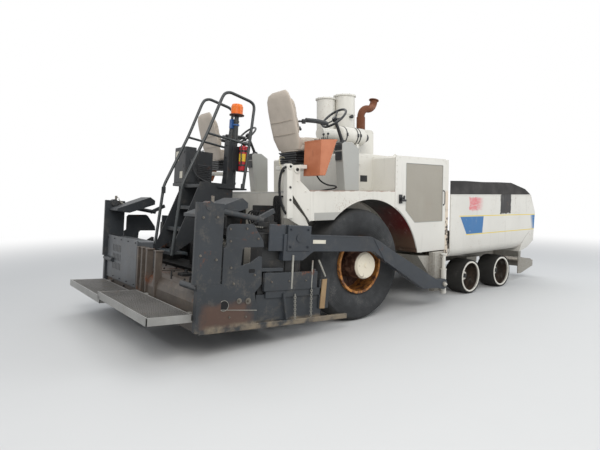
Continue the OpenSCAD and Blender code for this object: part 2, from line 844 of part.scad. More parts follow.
main_frame();
engine_block();
hood();
fenders();
cabinets();
door_right();
door_left();
deck();
dash_console();
air_cleaner();
stack_duct();
exhaust();
pedestals();
seats();
consoles();
steering_wheels();
hopper_floor();
conveyor();
hopper_wing_right();
hopper_wing_left();
drive_axle();
drive_rim_right();
drive_rim_left();
drive_tyre_right();
drive_tyre_left();
bogie_beam_right();
bogie_beam_left();
bogie_rim_rr();
bogie_rim_rf();
bogie_rim_lr();
bogie_rim_lf();
bogie_tyre_rr();
bogie_tyre_rf();
bogie_tyre_lr();
bogie_tyre_lf();
push_bar();
push_roller_right();
push_roller_left();
tow_points();
tow_arms();
screed_main();
extension_right();
extension_left();
end_gate_right();
end_gate_left();
walkway_right();
walkway_left();
stairs();
beacon();
extinguisher();
control_boxes();
auger_right();
auger_left();
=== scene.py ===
import math
import random

import bmesh
import bpy
from mathutils import Matrix, Vector


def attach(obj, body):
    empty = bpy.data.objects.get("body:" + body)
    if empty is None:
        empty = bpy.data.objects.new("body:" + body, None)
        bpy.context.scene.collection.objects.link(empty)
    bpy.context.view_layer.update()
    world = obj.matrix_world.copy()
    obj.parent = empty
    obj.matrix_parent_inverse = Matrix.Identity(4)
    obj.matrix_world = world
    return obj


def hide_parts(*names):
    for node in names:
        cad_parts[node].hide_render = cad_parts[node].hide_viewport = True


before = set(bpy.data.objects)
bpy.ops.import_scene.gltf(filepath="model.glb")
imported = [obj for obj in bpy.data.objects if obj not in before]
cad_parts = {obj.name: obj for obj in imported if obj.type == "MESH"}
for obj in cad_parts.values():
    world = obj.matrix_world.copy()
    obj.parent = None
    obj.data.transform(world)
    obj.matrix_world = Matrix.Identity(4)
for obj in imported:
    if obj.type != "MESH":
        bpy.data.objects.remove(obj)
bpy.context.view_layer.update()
print("frame loaded:", len(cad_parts), "nodes")

# Places are worked out in the source's millimetres, from the drive axle and the floor
layout = {
    "shift": (-1088.6, 0.0),
    "towPin": (1500, 330),
    "liftDegrees": 4.2,
}
sides = {"right": -1, "left": 1}


def place(x, y, z, onScreed=False):
    if onScreed:
        pinX, pinZ = layout["towPin"]
        turn = math.radians(layout["liftDegrees"])
        dx, dz = x - pinX, z - pinZ
        x = pinX + dx * math.cos(turn) + dz * math.sin(turn)
        z = pinZ - dx * math.sin(turn) + dz * math.cos(turn)
    return Vector(((x + layout["shift"][0]) / 1000, (y + layout["shift"][1]) / 1000, z / 1000))


# Camera, lamps, floor and background
studio = {
    "cameraPlace": (-4356, -5565, 1608),
    "heading": 51.92,
    "pitch": -3.54,
    "lens": 28.53,
    "ambient": (0.80, 0.84, 0.90),
    "ambientStrength": 0.66,
    "floorColour": (0.62, 0.62, 0.61),
    "lamps": {
        "keyLamp": {"at": (-7.0, -8.5, 8.0), "size": 6.0, "energy": 760, "color": (1.0, 0.98, 0.95)},
        "fillLamp": {"at": (7.0, -7.0, 6.0), "size": 7.0, "energy": 340, "color": (0.95, 0.98, 1.0)},
        "topLamp": {"at": (0.0, 2.0, 11.0), "size": 9.0, "energy": 430, "color": (1, 1, 1)},
    },
    "lampsAim": (0, 0, 1),
    "floorSize": 60,
    "floorFade": (6.0, 15.0),
}


def makeCamera():
    data = bpy.data.cameras.new("camera")
    data.lens = studio["lens"]
    data.sensor_width = 36
    data.clip_end = 200
    camera = bpy.data.objects.new("camera", data)
    heading, pitch = math.radians(studio["heading"]), math.radians(studio["pitch"])
    look = Vector((math.cos(pitch) * math.cos(heading), math.cos(pitch) * math.sin(heading),
                   math.sin(pitch)))
    camera.location = place(*studio["cameraPlace"])
    camera.rotation_mode = "QUATERNION"
    camera.rotation_quaternion = look.to_track_quat("-Z", "Y")
    bpy.context.scene.collection.objects.link(camera)
    bpy.context.scene.camera = camera


class Wire:
    def __init__(self, tree, socket=None):
        self.tree = tree
        self.socket = socket

    def node(self, kind, settings=None, inputs=None, output=0):
        made = self.tree.nodes.new(kind)
        for key, value in (settings or {}).items():
            setattr(made, key, value)
        for key, value in (inputs or {}).items():
            if isinstance(value, Wire):
                self.tree.links.new(value.socket, made.inputs[key])
            elif value is not None:
                made.inputs[key].default_value = value
        return Wire(self.tree, made.outputs[output])

    def maths(self, operation, first, second=None):
        return self.node("ShaderNodeMath", {"operation": operation}, {0: first, 1: second})

    def __add__(self, other):
        return self.maths("ADD", self, other)

    __radd__ = __add__

    def __sub__(self, other):
        return self.maths("SUBTRACT", self, other)

    def __rsub__(self, other):
        return self.maths("SUBTRACT", other, self)

    def __mul__(self, other):
        return self.maths("MULTIPLY", self, other)

    __rmul__ = __mul__

    def __pow__(self, other):
        return self.maths("POWER", self, other)

    def least(self, other):
        return self.maths("MINIMUM", self, other)

    def most(self, other):
        return self.maths("MAXIMUM", self, other)

    def size(self):
        return self.maths("ABSOLUTE", self)

    def sine(self):
        return self.maths("SINE", self)

    def above(self, low, high):
        return self.node("ShaderNodeMapRange", {"interpolation_type": "SMOOTHSTEP"},
                         {0: self, 1: low, 2: high, 3: 0.0, 4: 1.0})

    def below(self, low, high):
        return self.node("ShaderNodeMapRange", {"interpolation_type": "SMOOTHSTEP"},
                         {0: self, 1: low, 2: high, 3: 1.0, 4: 0.0})

    # One between two levels, with a soft edge inside each
    def within(self, low, high, soft):
        return (self - low).above(0.0, soft) * (high - self).above(0.0, soft)


class Finish:
    def __init__(self, name, **constants):
        self.material = bpy.data.materials.new(name)
        self.material.use_nodes = True
        self.tree = self.material.node_tree
        self.shader = self.tree.nodes["Principled BSDF"]
        self.wire = Wire(self.tree)
        self.coords = self.wire.node("ShaderNodeTexCoord", output="Object")
        for key, value in constants.items():
            self.shader.inputs[key.replace("_", " ")].default_value = value

    def axes(self):
        split = self.wire.node("ShaderNodeSeparateXYZ", inputs={0: self.coords})
        return [Wire(self.tree, split.socket.node.outputs[i]) for i in range(3)]

    # Source coordinates in metres, for marks that have a place on the machine
    def sourceAxes(self):
        x, y, z = self.axes()
        return x - layout["shift"][0] / 1000, y - layout["shift"][1] / 1000, z

    # Distance in metres from an axle that runs across the machine at x, z
    def fromAxle(self, axle):
        x, y, z = self.sourceAxes()
        dx, dz = x - axle[0], z - axle[1]
        return (dx * dx + dz * dz) ** 0.5

    def noise(self, scale, detail=3.0, roughness=0.55, stretch=None, shift=0.0):
        coords = self.coords
        if stretch:
            coords = self.wire.node("ShaderNodeMapping", inputs={"Vector": coords, "Scale": stretch})
        if shift:
            coords = self.wire.node("ShaderNodeVectorMath", {"operation": "ADD"},
                                    {0: coords, 1: (shift,) * 3})
        return self.wire.node("ShaderNodeTexNoise", inputs={
            "Vector": coords, "Scale": scale, "Detail": detail, "Roughness": roughness})

    def mix(self, factor, first, second):
        def asColour(value):
            return value if isinstance(value, Wire) else (*value, 1)
        return self.wire.node("ShaderNodeMix", {"data_type": "RGBA"},
                              {0: factor, 6: asColour(first), 7: asColour(second)}, output=2)

    def blend(self, factor, first, second):
        return self.wire.node("ShaderNodeMix", {"data_type": "FLOAT"}, {0: factor, 2: first, 3: second})

    def connect(self, key, value):
        if isinstance(value, Wire):
            self.tree.links.new(value.socket, self.shader.inputs[key])
        else:
            self.shader.inputs[key].default_value = value

    def bump(self, height, strength=0.3, distance=0.002):
        self.connect("Normal", self.wire.node("ShaderNodeBump", inputs={
            "Height": height, "Strength": strength, "Distance": distance}))


def shade(hexCode):
    parts = [int(hexCode[i:i + 2], 16) / 255 for i in (0, 2, 4)]
    return tuple(v / 12.92 if v <= 0.04045 else ((v + 0.055) / 1.055) ** 2.4 for v in parts)


rustDark, rustBright = shade("4a2a1c"), shade("9a5a30")
grime = shade("4a4339")


# Off-white or grey paint with run marks, chips to the rust and soil low down; marks is a list of
# functions that lay a mask and colour over the paint before it wears
def paint(name, colour, chips=0.5, streaks=0.5, soil=0.5, roughness=0.45, soilTop=1.1, marks=()):
    f, colour = Finish(name, Specular_IOR_Level=0.45), shade(colour)
    x, y, z = f.axes()
    broad = f.noise(1.3, 4.0)
    fine = f.noise(34.0, 5.0, 0.65)
    tone = f.mix(broad.above(0.3, 0.7) * 0.5, colour, tuple(c * 0.86 for c in colour))
    for mark in marks:
        tone = mark(f, tone, fine)
    runs = f.noise(5.0, 4.0, 0.6, stretch=(3.2, 3.2, 0.28))
    runMask = runs.above(0.56, 0.74) * streaks
    tone = f.mix(runMask * 0.5, tone, tuple(c * 0.62 + g * 0.2 for c, g in zip(colour, grime)))
    low = z.below(0.35, soilTop) * (0.25 + fine * 0.8) * soil
    tone = f.mix(low.least(0.8), tone, grime)
    where = f.noise(2.7, 3.0, shift=4.1).above(0.50, 0.68)
    speck = f.noise(60.0, 4.0, 0.7) + broad * 0.25
    chip = speck.above(0.80 - 0.06 * chips, 0.83 - 0.06 * chips) * where
    halo = speck.above(0.71 - 0.06 * chips, 0.83 - 0.06 * chips) * where
    ruddy = f.mix(f.noise(90.0, 2.0), rustDark, rustBright)
    tone = f.mix(halo * 0.3, tone, shade("9b7a58"))
    tone = f.mix(chip, tone, ruddy)
    f.connect("Base Color", tone)
    f.connect("Roughness", f.blend(chip.most(low * 0.8), fine * 0.18 + (roughness - 0.09), 0.85))
    f.bump(fine * 0.35 + f.noise(260.0, 2.0) * 0.2 - chip * 1.2, 0.25, 0.0015)
    return f


def steel(name, colour, rust=0.5, dust=0.3, roughness=0.5, metallic=0.0, rustScale=3.0, marks=()):
    f, colour = Finish(name), shade(colour)
    broad = f.noise(1.7, 5.0, 0.6)
    fine = f.noise(48.0, 5.0, 0.7)
    scrape = f.noise(9.0, 4.0, 0.7, stretch=(0.5, 3.0, 3.0))
    tone = f.mix(broad.above(0.25, 0.75), tuple(c * 0.72 for c in colour), tuple(c * 1.22 for c in colour))
    tone = f.mix(scrape.above(0.62, 0.75) * 0.35, tone, tuple(min(1, c * 1.9 + 0.02) for c in colour))
    patch = f.noise(rustScale, 6.0, 0.68, shift=2.3) + fine * 0.22
    patch = patch.above(0.80 - 0.3 * rust, 0.92 - 0.3 * rust)
    ruddy = f.mix(f.noise(70.0, 3.0), rustDark, shade("7d4a2c"))
    tone = f.mix(patch, tone, ruddy)
    pale = (f.noise(6.0, 5.0, 0.7, shift=7.7) + (fine - 0.5) * 0.5).above(0.5, 0.85) * dust
    tone = f.mix(pale, tone, shade("857b6c"))
    for mark in marks:
        tone = mark(f, tone, fine)
    f.connect("Base Color", tone)
    f.connect("Roughness", f.blend(patch.most(pale), fine * 0.3 + (roughness - 0.15), 0.9))
    if metallic:
        f.connect("Metallic", f.blend(patch.most(pale), metallic, 0.0))
    f.bump(fine * 0.6 + patch * 0.5 + f.noise(220.0, 2.0) * 0.2, 0.35, 0.002)
    return f


# Rubber; for a wheel, axle is the x and z of its axle and reach its radius in metres, and rings run
# round its side
def rubber(name, colour, axle=None, reach=0.0):
    f, colour = Finish(name, Specular_IOR_Level=0.3), shade(colour)
    fine = f.noise(70.0, 5.0, 0.7)
    scuff = f.noise(3.0, 6.0, 0.65)
    tone = f.mix(scuff.above(0.35, 0.72), colour, tuple(c * 1.7 + 0.008 for c in colour))
    tone = f.mix((fine * scuff).above(0.30, 0.46) * 0.4, tone, shade("8b857b"))
    height = fine + f.noise(14.0, 3.0) * 0.7
    if axle:
        far = f.fromAxle(axle)
        rings = (far * 260.0).sine().above(0.2, 0.9) * far.above(reach * 0.58, reach * 0.6)
        rings = rings * far.below(reach * 0.86, reach * 0.9)
        tone = f.mix(far.above(reach * 0.93, reach) * 0.25, tone, shade("4a4741"))
        height = height + rings * 0.8
    f.connect("Base Color", tone)
    f.connect("Roughness", fine * 0.2 + 0.66)
    f.bump(height, 0.3, 0.003)
    return f


def plastic(name, colour, faded, roughness=0.5, stain=0.5):
    f, colour, faded = Finish(name), shade(colour), shade(faded)
    fine = f.noise(120.0, 4.0, 0.6)
    broad = f.noise(4.0, 5.0, 0.6)
    tone = f.mix(broad.above(0.3, 0.75), colour, faded)
    tone = f.mix(f.noise(9.0, 6.0, 0.7, stretch=(1.0, 1.0, 0.3)).above(0.58, 0.75) * stain, tone,
                 tuple(c * 0.45 for c in colour))
    f.connect("Base Color", tone)
    f.connect("Roughness", fine * 0.25 + (roughness - 0.1))
    f.bump(fine, 0.2, 0.0012)
    return f


print("shader tools ready")


# Level of a slanted line: its value where along is start, and its slope from there
def slanted(line, along):
    value, start, slope = line
    return value + (start - along) * slope


# Half width at which the machine's outer faces begin, in metres
outerFace = (1.284, 1.288)

# Marks of the hopper wings: blue band between yellow lines, a faded red spot and a black patch
bandSpec = {
    "top": (1.298, 2.133, 0.0115), "rear": (2.160, 1.272, 0.63), "block": (2.79, 0.983, -0.116),
    "tip": (4.35, 1.252, 0.266), "blueLow": 0.998, "line": 0.018, "lineSoft": 0.004, "blueSoft": 0.006,
    "lineStart": 2.133, "lowLine": (0.982, 1.0), "lowLineStart": 2.31,
    "spot": {"rear": 2.39, "low": 1.36, "high": 1.585, "front": (2.86, 1.60, -0.2)},
    "patch": {"rear": 3.33, "front": 3.685, "low": 1.292, "soft": 0.012},
    "seam": {"front": 4.45, "top": 0.96, "curve": 0.62, "slope": 0.35, "width": (0.004, 0.009)},
}


def bandMarks(f, tone, fine):
    x, y, z = f.sourceAxes()
    spec, soft = bandSpec, bandSpec["lineSoft"]
    outer = y.size().above(*outerFace)
    worn = 1 - (fine * f.noise(7.0, 5.0, 0.7)).above(0.34, 0.42) * 0.6
    top = slanted(spec["top"], x)
    inside = z.within(spec["blueLow"], top - spec["line"], soft)
    inside = inside * (x - slanted(spec["rear"], z)).above(0.0, spec["blueSoft"])
    block = (slanted(spec["block"], z) - x).above(0.0, spec["blueSoft"])
    tip = (x - slanted(spec["tip"], z)).above(0.0, 0.12)
    tone = f.mix(inside * block.most(tip) * worn * outer, tone, shade("2f6a9e"))
    lineTop = z.within(top - spec["line"], top, soft) * (x - spec["lineStart"]).above(0.0, spec["blueSoft"])
    lineLow = z.within(*spec["lowLine"], soft) * (x - spec["lowLineStart"]).above(0.0, spec["blueSoft"])
    tone = f.mix(lineTop.most(lineLow) * worn * outer, tone, shade("d9c24e"))
    ragged = f.noise(22.0, 5.0, 0.7) * 0.10 - 0.05
    area = spec["spot"]
    spot = (x + ragged - area["rear"]).above(0.0, 0.02) * (area["high"] + ragged - z).above(0.0, 0.02)
    spot = spot * (z + ragged - area["low"]).above(0.0, 0.03)
    spot = spot * (slanted(area["front"], z) - x + ragged).above(0.0, 0.22)
    smear = f.noise(30.0, 4.0, 0.7, stretch=(0.5, 1.0, 2.0)).above(0.25, 0.6) * 0.6 + 0.25
    tone = f.mix(spot * smear * outer, tone, shade("d05560"))
    area = spec["patch"]
    patch = (x + ragged - area["rear"]).above(0.0, area["soft"])
    patch = patch * (area["front"] - x + ragged).above(0.0, area["soft"])
    patch = patch * (z + ragged - area["low"]).above(0.0, area["soft"])
    tone = f.mix(patch * outer, tone, shade("1d1b1c"))
    area = spec["seam"]
    under = (area["top"] - z).most(0.0)
    seamX = area["front"] - (under ** 0.5) * area["curve"] - under * area["slope"]
    seam = (x - seamX).size().below(*area["width"]) * z.below(0.93, 0.97) * z.above(0.70, 0.73)
    return f.mix(seam * 0.7 * outer, tone, shade("5b5144"))


# Wheel arch lining: near-black painted shade at the top and towards the rear of the arch's hollow, then dark
# red, then rust low down in front
archSpec = {"axle": (0.160, 0.592), "reach": (0.981, 0.986), "inner": (0.845, 0.85)}


def archMarks(f, tone, fine):
    x, y, z = f.sourceAxes()
    lining = f.fromAxle(archSpec["axle"]).below(*archSpec["reach"])
    lining = lining * y.size().below(*outerFace) * y.size().above(*archSpec["inner"])
    ragged = f.noise(4.0, 5.0, 0.7) * 0.3 - 0.15
    # near-black where the red does not reach is painted shade in the arch's hollow under the fender
    colour = f.mix((z + ragged).below(1.30, 1.50) * (x - 0.35).above(0.0, 0.25), shade("141313"),
                   shade("571216"))
    colour = f.mix((z + ragged).below(0.95, 1.2) * (x - 0.6).above(0.0, 0.2), colour, shade("5a4436"))
    return f.mix(lining, tone, colour)


# Grey strip on the right fender from the rear, and rust along the deck's edge
fenderSpec = {"stripTop": (1.402, 1.410), "stripRear": -0.80, "edgeLow": (1.680, 1.692),
              "edgeInner": (1.20, 1.25)}


def fenderMarks(f, tone, fine):
    x, y, z = f.sourceAxes()
    strip = z.below(*fenderSpec["stripTop"]) * (x - fenderSpec["stripRear"]).above(0.0, 0.01)
    strip = strip * y.size().above(*outerFace) * y.below(-0.1, 0.0)
    tone = f.mix(strip, tone, shade("a3a29c"))
    ragged = f.noise(9.0, 5.0, 0.7) * 0.05
    edge = (z + ragged).above(*fenderSpec["edgeLow"]) * y.size().above(*fenderSpec["edgeInner"])
    return f.mix(edge * 0.75, tone, shade("7a4a30"))


# Fine mesh let into the cabinet doors; its holes get painted shade from the cabinet behind the mesh, and
# dents get painted highlights where they catch the light
meshSpec = {"outer": (1.2873, 1.2880), "inner": (1.2800, 1.2807), "pitch": 700.0}


def meshMarks(f, tone, fine):
    x, y, z = f.sourceAxes()
    sheet = y.size().below(*meshSpec["outer"]) * y.size().above(*meshSpec["inner"])
    # the holes are darkened with painted shade, as if the unlit inside of the cabinet showed through
    holeShade = (x * meshSpec["pitch"]).sine() * (z * meshSpec["pitch"]).sine()
    colour = f.mix(holeShade.above(0.1, 0.5) * 0.75, shade("a39d90"), shade("4c4842"))
    # painted highlight on dents that face the light
    dentHighlight = f.noise(3.0, 3.0).above(0.35, 0.7)
    return f.mix(sheet, tone, f.mix(dentHighlight * 0.35, colour, shade("8d877b")))


# Flaking post at the hopper's corner, with a rusty edge behind it
postSpec = {"rear": 1.768, "edge": 1.762, "top": (1.66, 1.70), "flakeTop": (1.25, 1.5),
            "edgeTop": (1.3, 1.6)}


def postMarks(f, tone, fine):
    x, y, z = f.sourceAxes()
    post = (x - postSpec["rear"]).above(0.0, 0.003) * z.below(*postSpec["top"])
    flake = (f.noise(16.0, 6.0, 0.72) + fine * 0.2).above(0.60, 0.66) * z.below(*postSpec["flakeTop"])
    tone = f.mix(post * 0.6, tone, shade("cdb79b"))
    tone = f.mix(post * flake, tone, shade("2b211c"))
    edge = (x - postSpec["edge"]).size().below(0.004, 0.01) * z.below(*postSpec["edgeTop"])
    return f.mix(edge * 0.8, tone, shade("6a4630"))


# Rims: cream hub cap, dark drum, its patches and a bright ring, each with its colour. On the drive
# rims the dark drum is rust; on the bogie rims it is painted shade in the rim's deep dish. The ring
# shows beyond the outer half width and takes the drum's tone inside it; cap and ring are distances
# from the axle in metres
def rimMarks(axle, cap, ring, colours, wear=0.40, outer=0.0):
    capColour, drumRustAndShadeColour, ringColour, patchColour = (shade(code) for code in colours)

    def mark(f, tone, fine):
        y = f.sourceAxes()[1]
        far = f.fromAxle(axle)
        ragged = (f.noise(18.0, 5.0, 0.7) - 0.5) * 0.03
        capTone = f.mix((f.noise(26.0, 5.0, 0.75) + far * 0.4).above(0.66, 0.74), capColour, rustDark)
        drumRustAndShade = f.mix(f.noise(11.0, 6.0, 0.75).above(0.45, 0.62), drumRustAndShadeColour, patchColour)
        ringTone = f.mix(f.noise(14.0, 6.0, 0.7).above(wear, wear + 0.22), ringColour, rustDark)
        if outer:
            # inside the outer half width the ring takes the drum's dark tone: painted shade in the rim's deep
            # dish
            ringTone = f.mix(y.size().above(outer - 0.045, outer - 0.03), drumRustAndShade, ringTone)
        mixed = f.mix((far + ragged * 0.3).above(cap, cap + 0.004), capTone, drumRustAndShade)
        return f.mix((far + ragged).above(ring - 0.004, ring), mixed, ringTone)
    return mark


# Rust patch and sandy foot of the end gates; the height runs from the shoe of the raised screed
gateMarkSpec = {"shoe": 0.274, "rear": -2.2, "slope": 0.0734, "face": (1.40, 1.42), "patch": (-2.08, 0.17)}


def gateMarks(f, tone, fine):
    x, y, z = f.sourceAxes()
    spec = gateMarkSpec
    ragged = f.noise(6.0, 6.0, 0.72) * 0.3 - 0.15
    height = z - spec["shoe"] + (x - spec["rear"]) * spec["slope"]
    patchX, patchHeight = spec["patch"]
    patch = (x - patchX + ragged).size().below(0.20, 0.32)
    patch = patch * (height + ragged * 0.7 - patchHeight).size().below(0.07, 0.15)
    tone = f.mix(patch * 0.7 * y.size().above(*spec["face"]), tone, shade("543a2b"))
    tan = (height + ragged * 0.3).below(0.05, 0.10) * f.noise(5.0, 4.0).above(0.35, 0.55)
    return f.mix(tan * 0.75, tone, shade("857864"))


whitePaint = paint("whitePaint", "d3d0c7")
whiteLow = paint("whiteLow", "cbc7bd", chips=0.9, streaks=0.8, soil=0.9, soilTop=1.6)
fenderPaint = paint("fenderPaint", "d5d2c9", chips=0.6, marks=[fenderMarks, archMarks])
cabinetPaint = paint("cabinetPaint", "d4d1c8", marks=[postMarks, archMarks])
doorPaint = paint("doorPaint", "d6d3cb", marks=[meshMarks])
wingPaint = paint("wingPaint", "d5d2ca", marks=[bandMarks])
greyPaint = paint("greyPaint", "a3a39e", chips=0.3)
slateSteel = steel("slateSteel", "222528", rust=0.25, dust=0.22)
armSteel = steel("armSteel", "2a2f35", rust=0.12, dust=0.15, roughness=0.42)
gateSteel = steel("gateSteel", "272b2f", rust=0.25, dust=0.3, marks=[gateMarks])
darkSteel = steel("darkSteel", "161718", rust=0.25, dust=0.25)
extensionSteel = steel("extensionSteel", "4b433c", rust=0.45, dust=0.45)
coverSteel = steel("coverSteel", "54575a", rust=0.3, dust=0.4)
lipSteel = steel("lipSteel", "8d8c88", rust=0.12, dust=0.4, roughness=0.45)
barSteel = steel("barSteel", "6a6865", rust=0.15, dust=0.5)
rodPaint = paint("rodPaint", "dcd9d0", chips=0.7, soil=0.2)
railSteel = steel("railSteel", "2e3233", rust=0.1, dust=0.15, roughness=0.4)
stepSteel = steel("stepSteel", "3d4448", rust=0.15, dust=0.4)
beaconBase = steel("beaconBase", "4a2a22", rust=0.4, dust=0.1)
wornSteel = steel("wornSteel", "77726a", rust=0.45, dust=0.4, roughness=0.4, metallic=0.7)
paleSteel = steel("paleSteel", "9a9890", rust=0.3, dust=0.3, roughness=0.4, metallic=0.6)
rustySteel = steel("rustySteel", "8a5a42", rust=1.25, dust=0.25, rustScale=5.0)
hopperSteel = steel("hopperSteel", "36332f", rust=0.5, dust=0.4)
driveAxle = (0.0, 0.720)
bogieAxles = {"Rear": (2.643, 0.280), "Front": (3.593, 0.280)}
driveRim = steel("driveRim", "6b4632", rust=0.6, marks=[
    rimMarks(driveAxle, 0.170, 0.338, ("dcd3bf", "3a2219", "b57a3c", "74584a"))])
# the bogie rims' dark drum is painted shade in the deep white rim, with brown patches on it
bogieRims = {end: paint("bogieRim" + end, "dad6cc", chips=0.3, soil=0.1, marks=[
    rimMarks(axle, 0.085, 0.206, ("dedad0", "2d2723", "dcd8ce", "4a3d33"), wear=0.58, outer=1.2)])
    for end, axle in bogieAxles.items()}
driveRubber = rubber("driveRubber", "2b2c2d", driveAxle, 0.720)
bogieRubbers = {end: rubber("bogieRubber" + end, "131415", axle, 0.280)
                for end, axle in bogieAxles.items()}
boardRubber = rubber("boardRubber", "2c2a29")
hoseRubber = rubber("hoseRubber", "141415")
blackPlastic = plastic("blackPlastic", "17181a", "26282b", 0.4)
terracotta = plastic("terracotta", "a65e3b", "b87350", stain=0.8)
amberPlastic = plastic("amberPlastic", "f06a12", "f58a30", 0.3, stain=0.15)
paleHose = plastic("paleHose", "b9b39c", "a39c86", 0.5)
seatVinyl = plastic("seatVinyl", "b9aea1", "aaa093", 0.55, stain=0.35)
cushionVinyl = plastic("cushionVinyl", "a99e90", "b5aa9c", 0.6, stain=0.3)
blankLabel = plastic("blankLabel", "cfcabb", "bdb7a6", 0.5, stain=0.3)
yellowLabel = plastic("yellowLabel", "d8b62c", "c9a52a", 0.5, stain=0.3)
bluePlastic = plastic("bluePlastic", "27528c", "3562a0", 0.45)
plankWood = plastic("plankWood", "8a7152", "9c8462", 0.8, stain=0.8)
redPaint = paint("redPaint", "b01c28", chips=0.4, soil=0.2)

# Finish of every node that stays in view
nodeFinishes = {
    whiteLow: ["main_frame", "push_bar"],
    darkSteel: ["engine_block", "drive_axle", "bogie_beam_right", "bogie_beam_left", "screed_main"],
    rustySteel: ["exhaust"],
    fenderPaint: ["fenders"],
    cabinetPaint: ["cabinets"],
    wingPaint: ["hopper_wing_right", "hopper_wing_left"],
    doorPaint: ["door_right", "door_left"],
    bogieRims["Rear"]: ["bogie_rim_rr", "bogie_rim_lr"],
    bogieRims["Front"]: ["bogie_rim_rf", "bogie_rim_lf"],
    greyPaint: ["deck"],
    driveRim: ["drive_rim_right", "drive_rim_left"],
    terracotta: ["consoles"],
    hopperSteel: ["hopper_floor"],
    wornSteel: ["conveyor", "push_roller_right", "push_roller_left", "auger_right", "auger_left"],
    driveRubber: ["drive_tyre_right", "drive_tyre_left"],
    bogieRubbers["Rear"]: ["bogie_tyre_rr", "bogie_tyre_lr"],
    bogieRubbers["Front"]: ["bogie_tyre_rf", "bogie_tyre_lf"],
    armSteel: ["tow_arms"],
    redPaint: ["extinguisher"],
}


def softEdges(thing, width, degrees):
    edge = thing.modifiers.new("edge", "BEVEL")
    edge.width = width
    edge.segments = 2
    edge.limit_method = "ANGLE"
    edge.angle_limit = math.radians(degrees)
    edge.use_clamp_overlap = True


def dressNodes():
    for finish, names in nodeFinishes.items():
        for name in names:
            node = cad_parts[name]
            node.data.materials.clear()
            node.data.materials.append(finish.material)
            weld = node.modifiers.new("weld", "WELD")
            weld.merge_threshold = 0.00005
            softEdges(node, 0.003, 35)


dressNodes()


makeCamera()


def curved(points, steps=6):
    points = [Vector(p) for p in points]
    last = len(points) - 1
    result = []
    for i in range(last):
        a, b, c, d = points[max(i - 1, 0)], points[i], points[i + 1], points[min(i + 2, last)]
        for step in range(steps):
            t = step / steps
            result.append(0.5 * (2 * b + (c - a) * t + (2 * a - 5 * b + 4 * c - d) * t * t
                                 + (3 * b - a - 3 * c + d) * t * t * t))
    return result + [points[-1]]


def circle(count, start=0.0):
    return [2 * math.pi * (k + start) / count for k in range(count)]


# Parts of a bolt as shares of its size: where each ends along it, and its width
boltSpec = {"washer": (0.12, 1.25), "head": (0.6, 1.0), "thread": (0.85, 0.5)}


